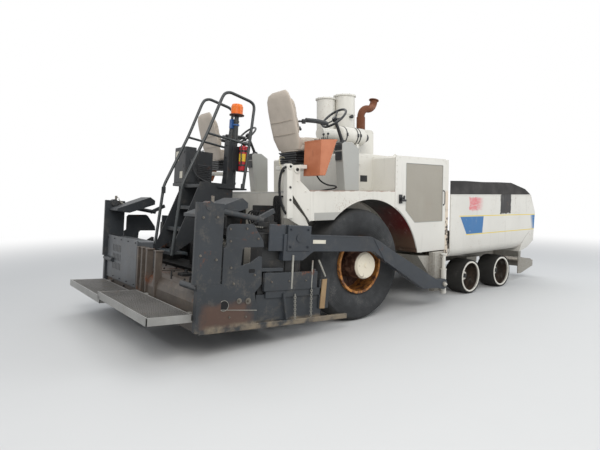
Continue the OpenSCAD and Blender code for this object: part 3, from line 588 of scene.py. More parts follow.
# A shape is drawn in the source's millimetres and placed when it becomes a piece. A side mirrors
# what is drawn for the left to the right; at is the y of a station's centre
class Shape:
    def __init__(self, side=None, suffix="", at=0, mesh=None):
        self.mesh = bmesh.new() if mesh is None else mesh
        self.way = sides[side] if side else 1
        self.suffix = side.capitalize() if side else suffix
        self.at = at

    def spot(self, point):
        return Vector((point[0], self.at + self.way * point[1], point[2]))

    def box(self, low, high, edge=0.0):
        low, high = self.spot(low), self.spot(high)
        size = [abs(b - a) for a, b in zip(low, high)]
        made = bmesh.ops.create_cube(self.mesh, size=1, matrix=Matrix.Translation((low + high) / 2)
                                     @ Matrix.Diagonal((*size, 1)))
        if edge:
            around = {e for v in made["verts"] for e in v.link_edges}
            bmesh.ops.bevel(self.mesh, geom=list(around), offset=edge, segments=2, affect="EDGES",
                            profile=0.5, material=-1)

    def rod(self, start, end, width, count=16, endWidth=None):
        start, end = self.spot(start), self.spot(end)
        turn = (end - start).to_track_quat("Z", "Y").to_matrix().to_4x4()
        bmesh.ops.create_cone(self.mesh, cap_ends=True, segments=count, radius1=width / 2,
                              radius2=(width if endWidth is None else endWidth) / 2,
                              depth=(end - start).length,
                              matrix=Matrix.Translation((start + end) / 2) @ turn)

    def loft(self, rings, closed=False):
        rings = [[self.mesh.verts.new(point) for point in ring] for ring in rings]
        count = len(rings[0])
        for here, ahead in zip(rings, rings[1:] + (rings[:1] if closed else [])):
            for k in range(count):
                self.mesh.faces.new((here[k], here[(k + 1) % count], ahead[(k + 1) % count], ahead[k]))
        if not closed:
            self.mesh.faces.new(rings[0][::-1])
            self.mesh.faces.new(rings[-1])

    # An outline of (x, z) is drawn out along y, of (y, z) along x and of (x, y) along z
    def plate(self, outline, low, high, axis="y"):
        order = {"x": (2, 0, 1), "y": (0, 2, 1), "z": (0, 1, 2)}[axis]
        rings = []
        for level in (low, high):
            corners = [(*point, level) for point in outline]
            rings.append([self.spot([corner[i] for i in order]) for corner in corners])
        self.loft(rings)

    def sweep(self, points, width, count=10, closed=False):
        points = [self.spot(p) for p in points]
        last = len(points) - 1
        rings, across = [], None
        for i, point in enumerate(points):
            if closed:
                way = points[(i + 1) % (last + 1)] - points[i - 1]
            else:
                way = points[min(i + 1, last)] - points[max(i - 1, 0)]
            way.normalize()
            across = way.orthogonal() if across is None else across - way * across.dot(way)
            across.normalize()
            up = way.cross(across)
            rings.append([point + (across * math.cos(turn) + up * math.sin(turn)) * width / 2
                          for turn in circle(count)])
        self.loft(rings, closed)

    def tube(self, points, width, count=8, steps=6):
        self.sweep(curved(points, steps), width, count)

    # Hexagon bolt on its washer, with the end of its thread; out points away from the face
    def bolt(self, at, size, out=(0, 1, 0)):
        at, out = Vector(at), Vector(out) * size
        start = 0.0
        for part, count in (("washer", 14), ("head", 6), ("thread", 8)):
            end, wide = boltSpec[part]
            self.rod(at + out * start, at + out * end, size * wide, count)
            start = end

    def row(self, start, end, count, size, out=(0, 1, 0)):
        start, end = Vector(start), Vector(end)
        for i in range(count):
            self.bolt(start.lerp(end, i / max(count - 1, 1)), size, out)

    # Turns a closed profile of (radius, height) round an upright or a lengthwise axis
    def lathe(self, profile, centre, steps=40, axis="z"):
        rings = []
        for turn in circle(steps):
            c, s = math.cos(turn), math.sin(turn)
            ring = [(r * c, r * s, h) if axis == "z" else (h, r * c, r * s) for r, h in profile]
            rings.append([self.spot(Vector(centre) + Vector(point)) for point in ring])
        self.loft(rings, closed=True)

    # Chain of wire links that hangs between two points
    def chain(self, start, end, links, thick, sag=0.0):
        start, end = self.spot(start), self.spot(end)
        step = (end - start) / links
        hung = Shape(mesh=self.mesh)
        for i in range(links):
            t = (i + 0.5) / links
            middle = start.lerp(end, t) - Vector((0, 0, sag * 4 * t * (1 - t)))
            way = (step + Vector((0, 0, -sag * 4 * (1 - 2 * t) / links))).normalized()
            across = way.orthogonal().normalized()
            if i % 2:
                across = way.cross(across)
            half = step.length * 0.5 + thick
            link = [middle + way * half * math.cos(turn) + across * thick * 1.5 * math.sin(turn)
                    for turn in circle(12)]
            hung.sweep(link, thick, 6, closed=True)

    # The rows of a piece's dictionary, each under the name of the function that draws it
    def draw(self, spec, bothSides=False):
        for way in (-1, 1) if bothSides else (self.way,):
            self.way = way
            for kind, rows in spec.items():
                for values in rows:
                    getattr(self, kind)(*values)

    def piece(self, name, body, slotName, finish, onScreed=False, smooth=False, angle=0, bevelWidth=0.0,
              replaces=None):
        for vert in self.mesh.verts:
            vert.co = place(*vert.co, onScreed=onScreed)
        bmesh.ops.recalc_face_normals(self.mesh, faces=self.mesh.faces)
        for face in self.mesh.faces:
            face.smooth = smooth or angle > 0
        if angle:
            for edge in self.mesh.edges:
                sharp = len(edge.link_faces) == 2 and edge.calc_face_angle(0) > math.radians(angle)
                edge.smooth = not sharp
        data = bpy.data.meshes.new(name + self.suffix)
        self.mesh.to_mesh(data)
        self.mesh.free()
        data.materials.append(finish.material)
        thing = bpy.data.objects.new(name + self.suffix, data)
        bpy.context.scene.collection.objects.link(thing)
        if bevelWidth:
            softEdges(thing, bevelWidth, 40)
        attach(thing, body)
        if replaces:
            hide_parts(replaces)
        return thing


# Free hoses, with the point where each leaves the machine first
hoses = {
    "seatHoseNear": {"wide": 14, "finish": paleHose, "points": [
        (-925, -880, 2062), (-990, -905, 2068), (-1062, -965, 2030), (-1112, -1060, 1945),
        (-1140, -1160, 1850), (-1158, -1254, 1780)]},
    "seatHoseFar": {"wide": 14, "finish": paleHose, "points": [
        (-866, 1400, 2120), (-930, 1404, 2112), (-985, 1412, 2030), (-1008, 1418, 1900),
        (-990, 1418, 1780), (-930, 1410, 1700), (-850, 1400, 1664)]},
    "columnHoseOuter": {"wide": 28, "finish": hoseRubber, "points": [
        (-1213, -1305, 1925), (-1265, -1305, 1890), (-1296, -1302, 1790), (-1300, -1298, 1660),
        (-1280, -1298, 1540), (-1250, -1300, 1460), (-1213, -1300, 1405)]},
    "columnHoseInner": {"wide": 24, "finish": hoseRubber, "points": [
        (-1213, -1268, 1890), (-1252, -1266, 1850), (-1276, -1262, 1750), (-1272, -1262, 1620),
        (-1248, -1266, 1520), (-1213, -1268, 1460)]},
    "podHoseNear": {"wide": 18, "finish": hoseRubber, "points": [
        (-790, -1330, 1838), (-740, -1345, 1775), (-650, -1355, 1735), (-540, -1345, 1725),
        (-455, -1300, 1712), (-440, -1235, 1694), (-520, -1200, 1680), (-620, -1195, 1664)]},
}


def makeHose(name, spec):
    points = curved(spec["points"], 8)
    shape = Shape()
    shape.sweep(points, spec["wide"])
    thing = shape.piece(name, "tractor", "black_plastic", spec["finish"], smooth=True)
    path = [place(*p) for p in points]
    spec["wide"] / 1000


for hoseName, hoseSpec in hoses.items():
    makeHose(hoseName, hoseSpec)
print("hoses ready")


# Seats: a vinyl shell on a black base, with two soft cushions and two armrests. A row of the back
# is rear x, rear z, front x, front z, half width; of the pan rear x, front x, z, half width, front z
seatSpec = {
    "stations": {"Near": -940, "Far": 940},
    "back": [(-925, 2150, -830, 2170, 205), (-945, 2215, -842, 2235, 232), (-965, 2290, -925, 2300, 246),
             (-1008, 2460, -962, 2450, 250), (-1050, 2630, -1003, 2612, 244),
             (-1076, 2735, -1030, 2720, 226), (-1079, 2795, -1042, 2785, 196),
             (-1058, 2828, -1040, 2824, 140)],
    "pan": [(-920, -490, 2132, 205, 2134), (-925, -465, 2165, 240, 2170), (-920, -455, 2205, 246, 2215)],
    "ring": {"points": 24, "across": 0.42, "deep": 0.55},
    "seams": [2330, 2480],
    "lean": {"foot": (-965, 2290), "back": 85, "rise": 340},
    "welt": [(14, -236, 0), (-3, -190, 0), (-5, 0, -4), (-3, 190, 0), (14, 236, 0)],
    "arms": {
        "box": [((-905, 248, 2440), (-862, 276, 2492), 5)],
        "rod": [((-940, 238, 2466), (-884, 262, 2466), 24, 12)],
        "tube": [([(-885, 262, 2468), (-860, 262, 2474), (-700, 262, 2478), (-560, 262, 2470),
                   (-512, 262, 2462)], 34, 14, 5),
                 ([(-850, 262, 2488), (-700, 262, 2492), (-530, 262, 2480)], 44, 14, 5)],
    },
    "slide": {
        "box": [((-925, -reach, z), (-565, reach, z + 24), 8) for z, reach in (
                    (1990, 160), (2017, 172), (2044, 160), (2071, 172), (2098, 160))]
               + [((-905, y - 12, 2118), (-500, y + 12, 2134), 3) for y in (-196, 196)],
        "rod": [((-560, -60, 2050), (-528, -60, 2050), 46, 14)],
        "tube": [([(-500, -150, 2112), (-462, -140, 2104), (-462, 140, 2104), (-500, 150, 2112)], 12, 8, 5)],
    },
    "cushions": {
        "Cushion": {"size": (395, 440, 70), "deep": 62, "low": (-868, 2213), "turn": -0.02},
        "Back": {"size": (470, 430, 90), "deep": 46, "low": (-917, 2300), "turn": math.radians(-104)},
    },
}
clothSpec = {"voxel": 0.006, "quickVoxel": 0.012, "quality": 5, "mass": 0.3, "stiffness": 12,
             "pressure": 4, "frames": 20, "cap": 0.026, "foot": 0.012, "footShare": 0.1,
             "seam": 0.1428, "seamWidth": 0.012, "seamDepth": 7, "seamFrom": 0.03}


def shellRing(rear, front, half):
    spec, ring = seatSpec["ring"], []
    for turn in circle(spec["points"]):
        c, s = math.cos(turn), math.sin(turn)
        across = math.copysign(abs(s) ** spec["across"], s) * half
        deep = math.copysign(abs(c) ** spec["deep"], c) * 0.5 + 0.5
        ring.append((rear[0] + (front[0] - rear[0]) * deep, across, rear[1] + (front[1] - rear[1]) * deep))
    return ring


def roundedOutline(long, wide, corner, steps=4):
    points = []
    for cx, cy, start in ((long - corner, wide / 2 - corner, 0), (corner, wide / 2 - corner, 90),
                          (corner, corner - wide / 2, 180), (long - corner, corner - wide / 2, 270)):
        for k in range(steps + 1):
            turn = math.radians(start + 90 * k / steps)
            points.append((cx + corner * math.cos(turn), cy + corner * math.sin(turn)))
    return points


# Cushion puffed by a short cloth run, on a voxel mesh of its own; no point moves more than the cap
def puffed(name, outline, deep):
    block = Shape()
    block.plate(outline, 0, deep, "z")
    shape = block.mesh
    for vert in shape.verts:
        vert.co /= 1000
    bmesh.ops.bevel(shape, geom=shape.edges[:], offset=deep / 3600, segments=3, affect="EDGES",
                    profile=0.5, material=-1)
    bmesh.ops.recalc_face_normals(shape, faces=shape.faces)
    data = bpy.data.meshes.new(name)
    shape.to_mesh(data)
    shape.free()
    thing = bpy.data.objects.new(name, data)
    bpy.context.scene.collection.objects.link(thing)
    remesh = thing.modifiers.new("remesh", "REMESH")
    remesh.mode = "VOXEL"
    remesh.voxel_size = clothSpec["voxel"]
    graph = bpy.context.evaluated_depsgraph_get()
    data = bpy.data.meshes.new_from_object(thing.evaluated_get(graph))
    thing.modifiers.clear()
    thing.data = data
    rest = [v.co.copy() for v in data.vertices]
    cloth = thing.modifiers.new("cloth", "CLOTH")
    cloth.settings.quality = clothSpec["quality"]
    cloth.settings.mass = clothSpec["mass"]
    cloth.settings.tension_stiffness = clothSpec["stiffness"]
    cloth.settings.compression_stiffness = clothSpec["stiffness"]
    cloth.settings.use_pressure = True
    cloth.settings.uniform_pressure_force = clothSpec["pressure"]
    cloth.settings.effector_weights.gravity = 0
    cloth.collision_settings.use_collision = False
    for step in range(1, clothSpec["frames"] + 1):
        bpy.context.scene.frame_set(step)
    graph = bpy.context.evaluated_depsgraph_get()
    data = bpy.data.meshes.new_from_object(thing.evaluated_get(graph))
    bpy.context.scene.frame_set(1)
    middle = sum(rest, Vector()) / len(rest)
    result = bmesh.new()
    result.from_mesh(data)
    bpy.data.objects.remove(thing)
    for vert, start in zip(result.verts, rest):
        move = vert.co - start
        if move.length > clothSpec["cap"]:
            move *= clothSpec["cap"] / move.length
        if start.z < clothSpec["foot"]:
            move *= clothSpec["footShare"]
        vert.co = (start + move) * 1000
        # seam lines pull the cover in across the cushion
        for line in (-1, 1):
            near = abs(start.y - middle.y - line * clothSpec["seam"]) / clothSpec["seamWidth"]
            if near < 2 and start.z > clothSpec["seamFrom"]:
                vert.co.z -= clothSpec["seamDepth"] * math.exp(-near * near)
    return result


def makeSeats():
    cushions = {part: puffed("puff" + part, roundedOutline(*spec["size"]), spec["deep"])
                for part, spec in seatSpec["cushions"].items()}
    for label, y in seatSpec["stations"].items():
        shell, welts, arms, base = (Shape(suffix=label, at=y) for k in range(4))
        rings = [shellRing(row[0:2], row[2:4], row[4]) for row in seatSpec["back"]]
        shell.loft([[shell.spot(p) for p in ring] for ring in rings])
        rings = [shellRing((rear, z), (front, zFront), half)
                 for rear, front, z, half, zFront in seatSpec["pan"]]
        shell.loft([[shell.spot(p) for p in ring] for ring in rings])
        shell.piece("seatShell", "tractor", "seat_vinyl", seatVinyl, angle=50, replaces="seats")
        lean = seatSpec["lean"]
        for seam in seatSpec["seams"]:
            rear = lean["foot"][0] - lean["back"] * (seam - lean["foot"][1]) / lean["rise"]
            welts.tube([(rear + x, across, seam + z) for x, across, z in seatSpec["welt"]], 7, 6, 4)
        welts.piece("seatWelts", "tractor", "seat_vinyl", cushionVinyl, smooth=True)

        for part, spec in seatSpec["cushions"].items():
            soft = cushions[part].copy()
            upright = part == "Back"
            if upright:
                # the back cushion stands up along the shell's front, its full side forward
                for vert in soft.verts:
                    vert.co.z *= -1
            bmesh.ops.rotate(soft, verts=soft.verts, cent=(0, 0, 0),
                             matrix=Matrix.Rotation(spec["turn"], 3, "Y"))
            foot = min(v.co.z for v in soft.verts) if upright else 0
            x, z = spec["low"]
            bmesh.ops.translate(soft, verts=soft.verts, vec=(x, y, z - foot))
            cushion = Shape(suffix=label, mesh=soft).piece("seat" + part, "tractor", "seat_vinyl",
                                                           cushionVinyl, smooth=True)
            level = cushion.modifiers.new("fine", "SUBSURF")
            level.levels = level.render_levels = 1

        arms.draw(seatSpec["arms"], bothSides=True)
        arms.piece("armrests", "tractor", "black_plastic", blackPlastic, smooth=True)

        # bellows, slide, height knob and bar of the suspension
        base.draw(seatSpec["slide"])
        base.piece("seatSlide", "tractor", "black_plastic", blackPlastic)


makeSeats()
print("seats ready")


# Console pods: a rolled lip, a control panel with levers, switches and blank gauges
podSpec = {
    "top": [(-860, 2232), (-620, 2250)],
    "spans": {"Near": (-1490, -1191), "Far": (1191, 1490)},
    "lip": {"inset": 6, "end": 4, "width": 20},
    "panel": {"inset": 22, "low": 2, "high": 10, "face": 9},
    "switches": {"rows": 2, "count": 4, "start": (45, 50), "step": (28, 34)},
    "gauges": {"count": 3, "start": (60, 20), "step": 52},
    "levers": {"count": 2, "start": (-55, -40), "step": 80},
}


def makePods():
    (x0, z0), (x1, z1) = podSpec["top"]
    slope = (z1 - z0) / (x1 - x0)
    for label, (y0, y1) in podSpec["spans"].items():
        lip, panel = Shape(suffix=label), Shape(suffix=label)
        spec = podSpec["lip"]
        inset, end = spec["inset"], spec["end"]
        lip.sweep([(x0 + end, y0 + inset, z0 - inset), (x1 - end, y0 + inset, z1 - inset),
                   (x1 - end, y1 - inset, z1 - inset), (x0 + end, y1 - inset, z0 - inset)],
                  spec["width"], 8, closed=True)
        lip.piece("podLip", "tractor", "terracotta_plastic", terracotta)
        spec = podSpec["panel"]
        inset, low, high = spec["inset"], spec["low"], spec["high"]
        panel.plate([(x0 + inset, z0 + low), (x1 - inset, z1 + low), (x1 - inset, z1 + high),
                     (x0 + inset, z0 + high)], y0 + inset, y1 - inset)

        def stand(x, y, rise, width, count, endWidth=None):
            z = z0 + slope * (x - x0) + podSpec["panel"]["face"]
            panel.rod((x, y, z), (x, y, z + rise), width, count, endWidth)
            return z
        middle = (y0 + y1) / 2
        spec = podSpec["switches"]
        for row in range(spec["rows"]):
            for k in range(spec["count"]):
                x = x0 + spec["start"][0] + k * spec["step"][0]
                y = y0 + spec["start"][1] + row * spec["step"][1]
                z = stand(x, y, 5, 16, 8)
                panel.rod((x, y, z + 5), (x + 5, y, z + 21), 5, 8, 7)
        spec = podSpec["gauges"]
        for k in range(spec["count"]):
            stand(x0 + spec["start"][0] + k * spec["step"], middle + spec["start"][1], 7, 40, 20)
        spec = podSpec["levers"]
        for k in range(spec["count"]):
            x, y = x1 + spec["start"][0], middle + spec["start"][1] + k * spec["step"]
            z = stand(x, y, 12, 34, 14, 24)
            panel.rod((x, y, z + 8), (x + 10, y, z + 62), 9, 8)
            bmesh.ops.create_uvsphere(panel.mesh, u_segments=12, v_segments=8, radius=15,
                                      matrix=Matrix.Translation((x + 12, y, z + 70)))
        panel.piece("podPanel", "tractor", "black_plastic", blackPlastic)


makePods()


# Cabinet doors: rubber trim round the mesh, a latch, a bar handle and screws
doorSpec = {
    "face": 1290,
    "mesh": [(852, 1405), (852, 2055), (1692, 2055), (1692, 1228), (1052, 1228)],
    "latch": {"box": [((701, 1292, 1500), (761, 1308, 1622), 4)]},
    "catch": {"box": [((715, 1323, 1526), (813, 1337, 1556), 5), ((765, 1314, 1538), (791, 1330, 1608), 4)]},
    "knob": {"right": 1336, "left": 1330},
    "bar": {"tube": [([(1716, 1291, 1470), (1716, 1312, 1492), (1716, 1314, 1575), (1716, 1312, 1658),
                       (1716, 1291, 1680)], 12, 8, 5)],
            "rod": [((1716, 1289, z), (1716, 1294, z), 26, 12) for z in (1470, 1680)]},
    "screws": {"bolt": [((658, 1290, z), 13) for z in (1765, 1835, 2015, 2085)],
               "row": [((668, 1290, 1700), (668, 1290, 1930), 2, 12),
                       ((1735, 1290, 1180), (1735, 1290, 2110), 5, 11),
                       ((720, 1290, 2128), (1690, 1290, 2128), 6, 11)]},
}


def makeDoors():
    for label in sides:
        body = "door_" + label
        trim, latch, bar, screws = (Shape(label) for k in range(4))
        corners = [Vector((x, doorSpec["face"] - 0.5, z)) for x, z in doorSpec["mesh"]]
        loop = [a.lerp(b, t) for a, b in zip(corners, corners[1:] + corners[:1]) for t in (0.01, 0.99)]
        trim.sweep(loop, 9, 6, closed=True)
        trim.piece("meshTrim", body, "grey_paint", greyPaint)
        latch.draw(doorSpec["latch"])
        latch.rod((730, 1306, 1570), (730, doorSpec["knob"][label], 1570), 30, 14)
        if label == "right":
            latch.draw(doorSpec["catch"])
        latch.piece("latch", body, "black_paint", blackPlastic)
        bar.draw(doorSpec["bar"])
        bar.piece("doorBar", body, "black_paint", blackPlastic, smooth=True)
        screws.draw(doorSpec["screws"])
        screws.piece("doorScrews", body, "white_paint", whitePaint)


makeDoors()
print("doors ready")


# Hood with the cowl over the engine, their seams, latches and a blank plate
hoodSpec = {
    "shell": {"plate": [([(130, 1672), (130, 2170), (150, 2190), (700, 2190), (1840, 2160), (1840, 1570),
                          (650, 1570), (650, 1672)], -860, 860),
                        ([(470, 2186), (470, 2570), (500, 2600), (1030, 2600), (1060, 2570),
                          (1060, 2178)], -480, 90)]},
    "sideTrim": {
        "box": [((1112, 858, 1680), (1118, 862, 2160), 1)],
        "plate": [([(925, 2150), (933, 2150), (890, 1690), (882, 1690)], 858, 862)],
        "row": [((170, 860, 2150), (880, 860, 2150), 7, 12), ((170, 860, 1710), (860, 860, 1710), 6, 12),
                ((166, 860, 1780), (166, 860, 2090), 3, 12)],
        "tube": [([(x - 60, 860, 2040), (x - 55, 890, 2040), (x + 55, 890, 2040), (x + 60, 860, 2040)],
                  12, 8, 5) for x in (300, 760)],
    },
    "topTrim": {
        "box": [((x - 20, -486, 2440), (x + 20, -478, 2520), 2) for x in (600, 930)],
        "row": [((500, -480, 2560), (1030, -480, 2560), 5, 11, (0, -1, 0))],
        "lathe": [([(0.01, 0), (46, 0), (46, 28), (40, 40), (0.01, 40)], (1500, 480, 2166), 24)],
        "plate": [([(x - 40, 2172), (x - 34, 2222), (x, 2242), (x + 34, 2222), (x + 40, 2172)], y - 7, y + 7)
                  for x in (210, 1300) for y in (700, -700)],
    },
    "sideLouvres": {"plate": [([(1240, z), (1240, z + 4), (1236, z + 16), (1680, z + 16), (1684, z + 4),
                                (1684, z)], 857, 865) for z in range(1760, 2120, 30)]},
    "cowlLouvres": {"box": [((462, -400, z), (472, 20, z + 12), 2) for z in range(2230, 2536, 34)]},
    "plate": {"box": [((392, -864, 1802), (528, -859, 1890), 2)]},
}


def makeHood():
    shell, trim, grille, plate = (Shape() for k in range(4))
    shell.draw(hoodSpec["shell"])
    shell.piece("hoodShell", "tractor", "white_paint", whitePaint, bevelWidth=0.008, replaces="hood")
    trim.draw(hoodSpec["sideTrim"], bothSides=True)
    trim.draw(hoodSpec["topTrim"])
    trim.piece("hoodTrim", "tractor", "white_paint", whitePaint)
    grille.draw(hoodSpec["sideLouvres"], bothSides=True)
    grille.draw(hoodSpec["cowlLouvres"])
    grille.piece("hoodLouvres", "tractor", "black_paint", darkSteel)
    plate.draw(hoodSpec["plate"])
    plate.piece("hoodPlate", "tractor", "black_plastic", blackPlastic)


makeHood()

# Two round stacks, open at the top with a flange; rows: x, y, width, top, foot. A band runs round
# each at its share of the height
stackSpec = {
    "rows": [(589, -330, 300, 3085, 2600), (332, -200, 270, 3030, 2190)],
    "wall": 10, "floor": 12, "flange": (18, 20), "band": (5, 14), "bandAt": 0.4,
    "topBolts": {"reach": 9, "size": 11, "turns": circle(10)},
    "footBolts": {"reach": 14, "size": 12, "turns": circle(8, 0.5)},
    "knob": {"rod": [((560, -478, 2755), (556, -512, 2755), 34), ((556, -512, 2755), (554, -530, 2755), 52)]},
}


def makeStacks():
    shape, bits, knob = Shape(), Shape(), Shape()
    wide, thick = stackSpec["flange"]
    bandWide, bandHigh = stackSpec["band"]
    for x, y, width, top, foot in stackSpec["rows"]:
        r = width / 2
        inner, down, floor = r - stackSpec["wall"], foot - top, foot + stackSpec["floor"] - top
        shape.lathe([(inner, floor), (inner, 0), (r + wide, 0), (r + wide, -thick), (r, -thick), (r, down),
                     (0.01, down), (0.01, floor)], (x, y, top), 48)
        shape.lathe([(r, 0), (r + bandWide, 0), (r + bandWide, bandHigh), (r, bandHigh)],
                    (x, y, foot + stackSpec["bandAt"] * (top - foot)), 48)
        for z, spec in ((top, stackSpec["topBolts"]), (foot, stackSpec["footBolts"])):
            reach = r + spec["reach"]
            for turn in spec["turns"]:
                bits.bolt((x + reach * math.cos(turn), y + reach * math.sin(turn), z), spec["size"],
                          (0, 0, 1))
    shape.piece("stacks", "tractor", "white_paint", whitePaint, angle=40, replaces="stack_duct")
    bits.piece("stackBolts", "tractor", "white_paint", whitePaint)
    knob.draw(stackSpec["knob"])
    knob.piece("stackKnob", "tractor", "black_plastic", blackPlastic, smooth=True)


makeStacks()

# Air cleaner can with its ends, clamp bands, saddles and inlet, on an axis of its own
canSpec = {
    "can": {
        "lathe": [([(0.01, 0), (100, 0), (112, 10), (120, 24), (120, 250), (123, 252), (123, 262), (120, 264),
                    (120, 440), (108, 458), (60, 468), (0.01, 468)], (127, -690, 2440), 48, "x"),
                  ([(75, 0), (82, 0), (82, 12), (75, 12)], (-202, -690, 2440), 36, "x")],
        "rod": [((-200, -690, 2440), (130, -690, 2440), 150, 36)],
        "box": [((x, -760, 2190), (x + 40, -620, 2335), 4) for x in (160, 420)],
        "plate": [([(-770, 2190), (-770, 2200), (-610, 2200), (-610, 2190)], x - 15, x + 55, "x")
                  for x in (160, 420)],
    },
    "bands": [(180, 16), (384, 20), (440, 16)],
    "elbow": [(596, -690, 2440), (660, -680, 2440), (720, -600, 2440), (730, -520, 2440), (730, -478, 2440)],
}


def makeCan():
    can, bands = Shape(), Shape()
    can.draw(canSpec["can"])
    can.piece("airCan", "tractor", "white_paint", whitePaint, angle=40, replaces="air_cleaner")
    for x, wide in canSpec["bands"]:
        bands.lathe([(120.5, 0), (124, 0), (124, wide), (120.5, wide)], (x, -690, 2440), 48, "x")
        bands.box((x - 4, -826, 2420), (x + wide + 4, -810, 2462), 3)
    bands.tube(canSpec["elbow"], 118, 24)
    bands.piece("canBands", "tractor", "black_plastic", blackPlastic, angle=40)


makeCan()
print("hood, stacks and air cleaner ready")


# Dashboards with a darker slanted face, gauges without marks and the steering wheels
dashSpec = {
    "y": (985, 1130),
    "body": {"plate": [([(-150, 1672), (-200, 2180), (-200, 2260), (-160, 2290), (-20, 2290), (100, 2215),
                         (100, 1672)], 985, 1130)]},
    "face": {"plate": [([(-203, 2185), (-203, 2256), (-161, 2293), (-157, 2289), (-198, 2254),
                         (-198, 2185)], 993, 1122),
                       ([(-205, 2170), (-205, 2060), (-196, 2060), (-190, 2170)], 999, 1116)]},
}
wheelSpec = {"y": 1040, "hub": (-263, 2586), "foot": (-114, 2292), "tilt": 44, "ring": 172, "wide": 30,
             "spokes": (20, 140, 260), "knob": 2.4}


def makeDashes():
    body, face, wheels = Shape(), Shape(), Shape()
    body.draw(dashSpec["body"], bothSides=True)
    face.draw(dashSpec["face"], bothSides=True)
    tilt = math.radians(wheelSpec["tilt"])
    out = Vector((-math.sin(tilt), 0, math.cos(tilt)))
    flat = Vector((math.cos(tilt), 0, math.sin(tilt)))
    up = Vector((0, 0, 1))
    for way in (-1, 1):
        hub, foot = (Vector((x, way * wheelSpec["y"], z)) for x, z in (wheelSpec["hub"], wheelSpec["foot"]))

        def rimSpot(turn, reach=wheelSpec["ring"]):
            return hub + (flat * math.cos(turn) + Vector((0, 1, 0)) * math.sin(turn)) * reach
        start = min(way * y for y in dashSpec["y"])
        for k in range(4):
            y = start + 28 + 30 * k
            face.rod((-188, y, 2272), (-196, y, 2279), 22, 14)
            face.rod((-200, y, 2225), (-208, y, 2225), 16, 10)
        wheels.sweep([rimSpot(turn) for turn in circle(40)], wheelSpec["wide"], 12, closed=True)
        for degrees in wheelSpec["spokes"]:
            rim = rimSpot(math.radians(degrees), wheelSpec["ring"] - 6)
            wheels.sweep([hub - out * 22, hub.lerp(rim, 0.5) - out * 12, rim], 20, 8)
        wheels.rod(hub - out * 34, hub + out * 8, 74, 20, 56)
        wheels.rod(foot, hub - out * 30, 46, 16, 40)
        wheels.rod(foot - up * 4, foot + up * 26, 96, 20, 70)
        knob = rimSpot(wheelSpec["knob"])
        wheels.rod(knob, knob + out * 46, 22, 12, 34)
    body.piece("dashBodies", "tractor", "grey_paint", greyPaint, bevelWidth=0.008, replaces="dash_console")
    face.piece("dashFaces", "tractor", "black_plastic", slateSteel)
    wheels.piece("steeringWheels", "tractor", "black_plastic", blackPlastic, angle=50,
                 replaces="steering_wheels")


makeDashes()

# Columns, arms and gussets that carry the two seats
pedestalSpec = {
    "frame": {
        "box": [((-1215, 1250, 1348), (-1135, 1330, 1960), 8), ((-1000, 800, 1915), (-890, 1278, 1960), 6),
                ((-890, 800, 1915), (-620, 1105, 1960), 6)],
        "plate": [([(-1135, 1950), (-1000, 1950), (-1000, 1774), (-874, 1672), (-855, 1655), (-855, 1301),
                    (-1107, 1615), (-1135, 1615)], 1278, 1290),
                  ([(-1177, 1615), (-904, 1349), (-813, 1171), (-1177, 1357)], 1250, 1262)],
        "rod": [((-1054, 1286, 1901), (-1054, 1304, 1901), 84, 28),
                ((-1175, 1250, 1930), (-1175, 1338, 1930), 70, 24)],
    },
    "bolts": {
        "bolt": [((-1054, 1304, 1901), 30), ((-1175, 1338, 1930), 24), ((-1175, 1330, 1560), 22),
                 ((-1175, 1330, 1700), 22)],
        "rod": [((-1175, 1325, 1965), (-1175, 1325, 1990), 40, 12)],
    },
    "screws": {"bolt": [((-1040, 1290, 1770), 15), ((-925, 1290, 1655), 15), ((-890, 1290, 1450), 15)]},
}


def makePedestals():
    body, bits, whites = Shape(), Shape(), Shape()
    for shape, part in ((body, "frame"), (bits, "bolts"), (whites, "screws")):
        shape.draw(pedestalSpec[part], bothSides=True)
    body.piece("pedestalFrames", "tractor", "white_paint", whitePaint, bevelWidth=0.003,
               replaces="pedestals")
    bits.piece("pedestalBolts", "tractor", "black_paint", darkSteel)
    whites.piece("pedestalScrews", "tractor", "white_paint", whitePaint)


makePedestals()
print("dashboards and pedestals ready")
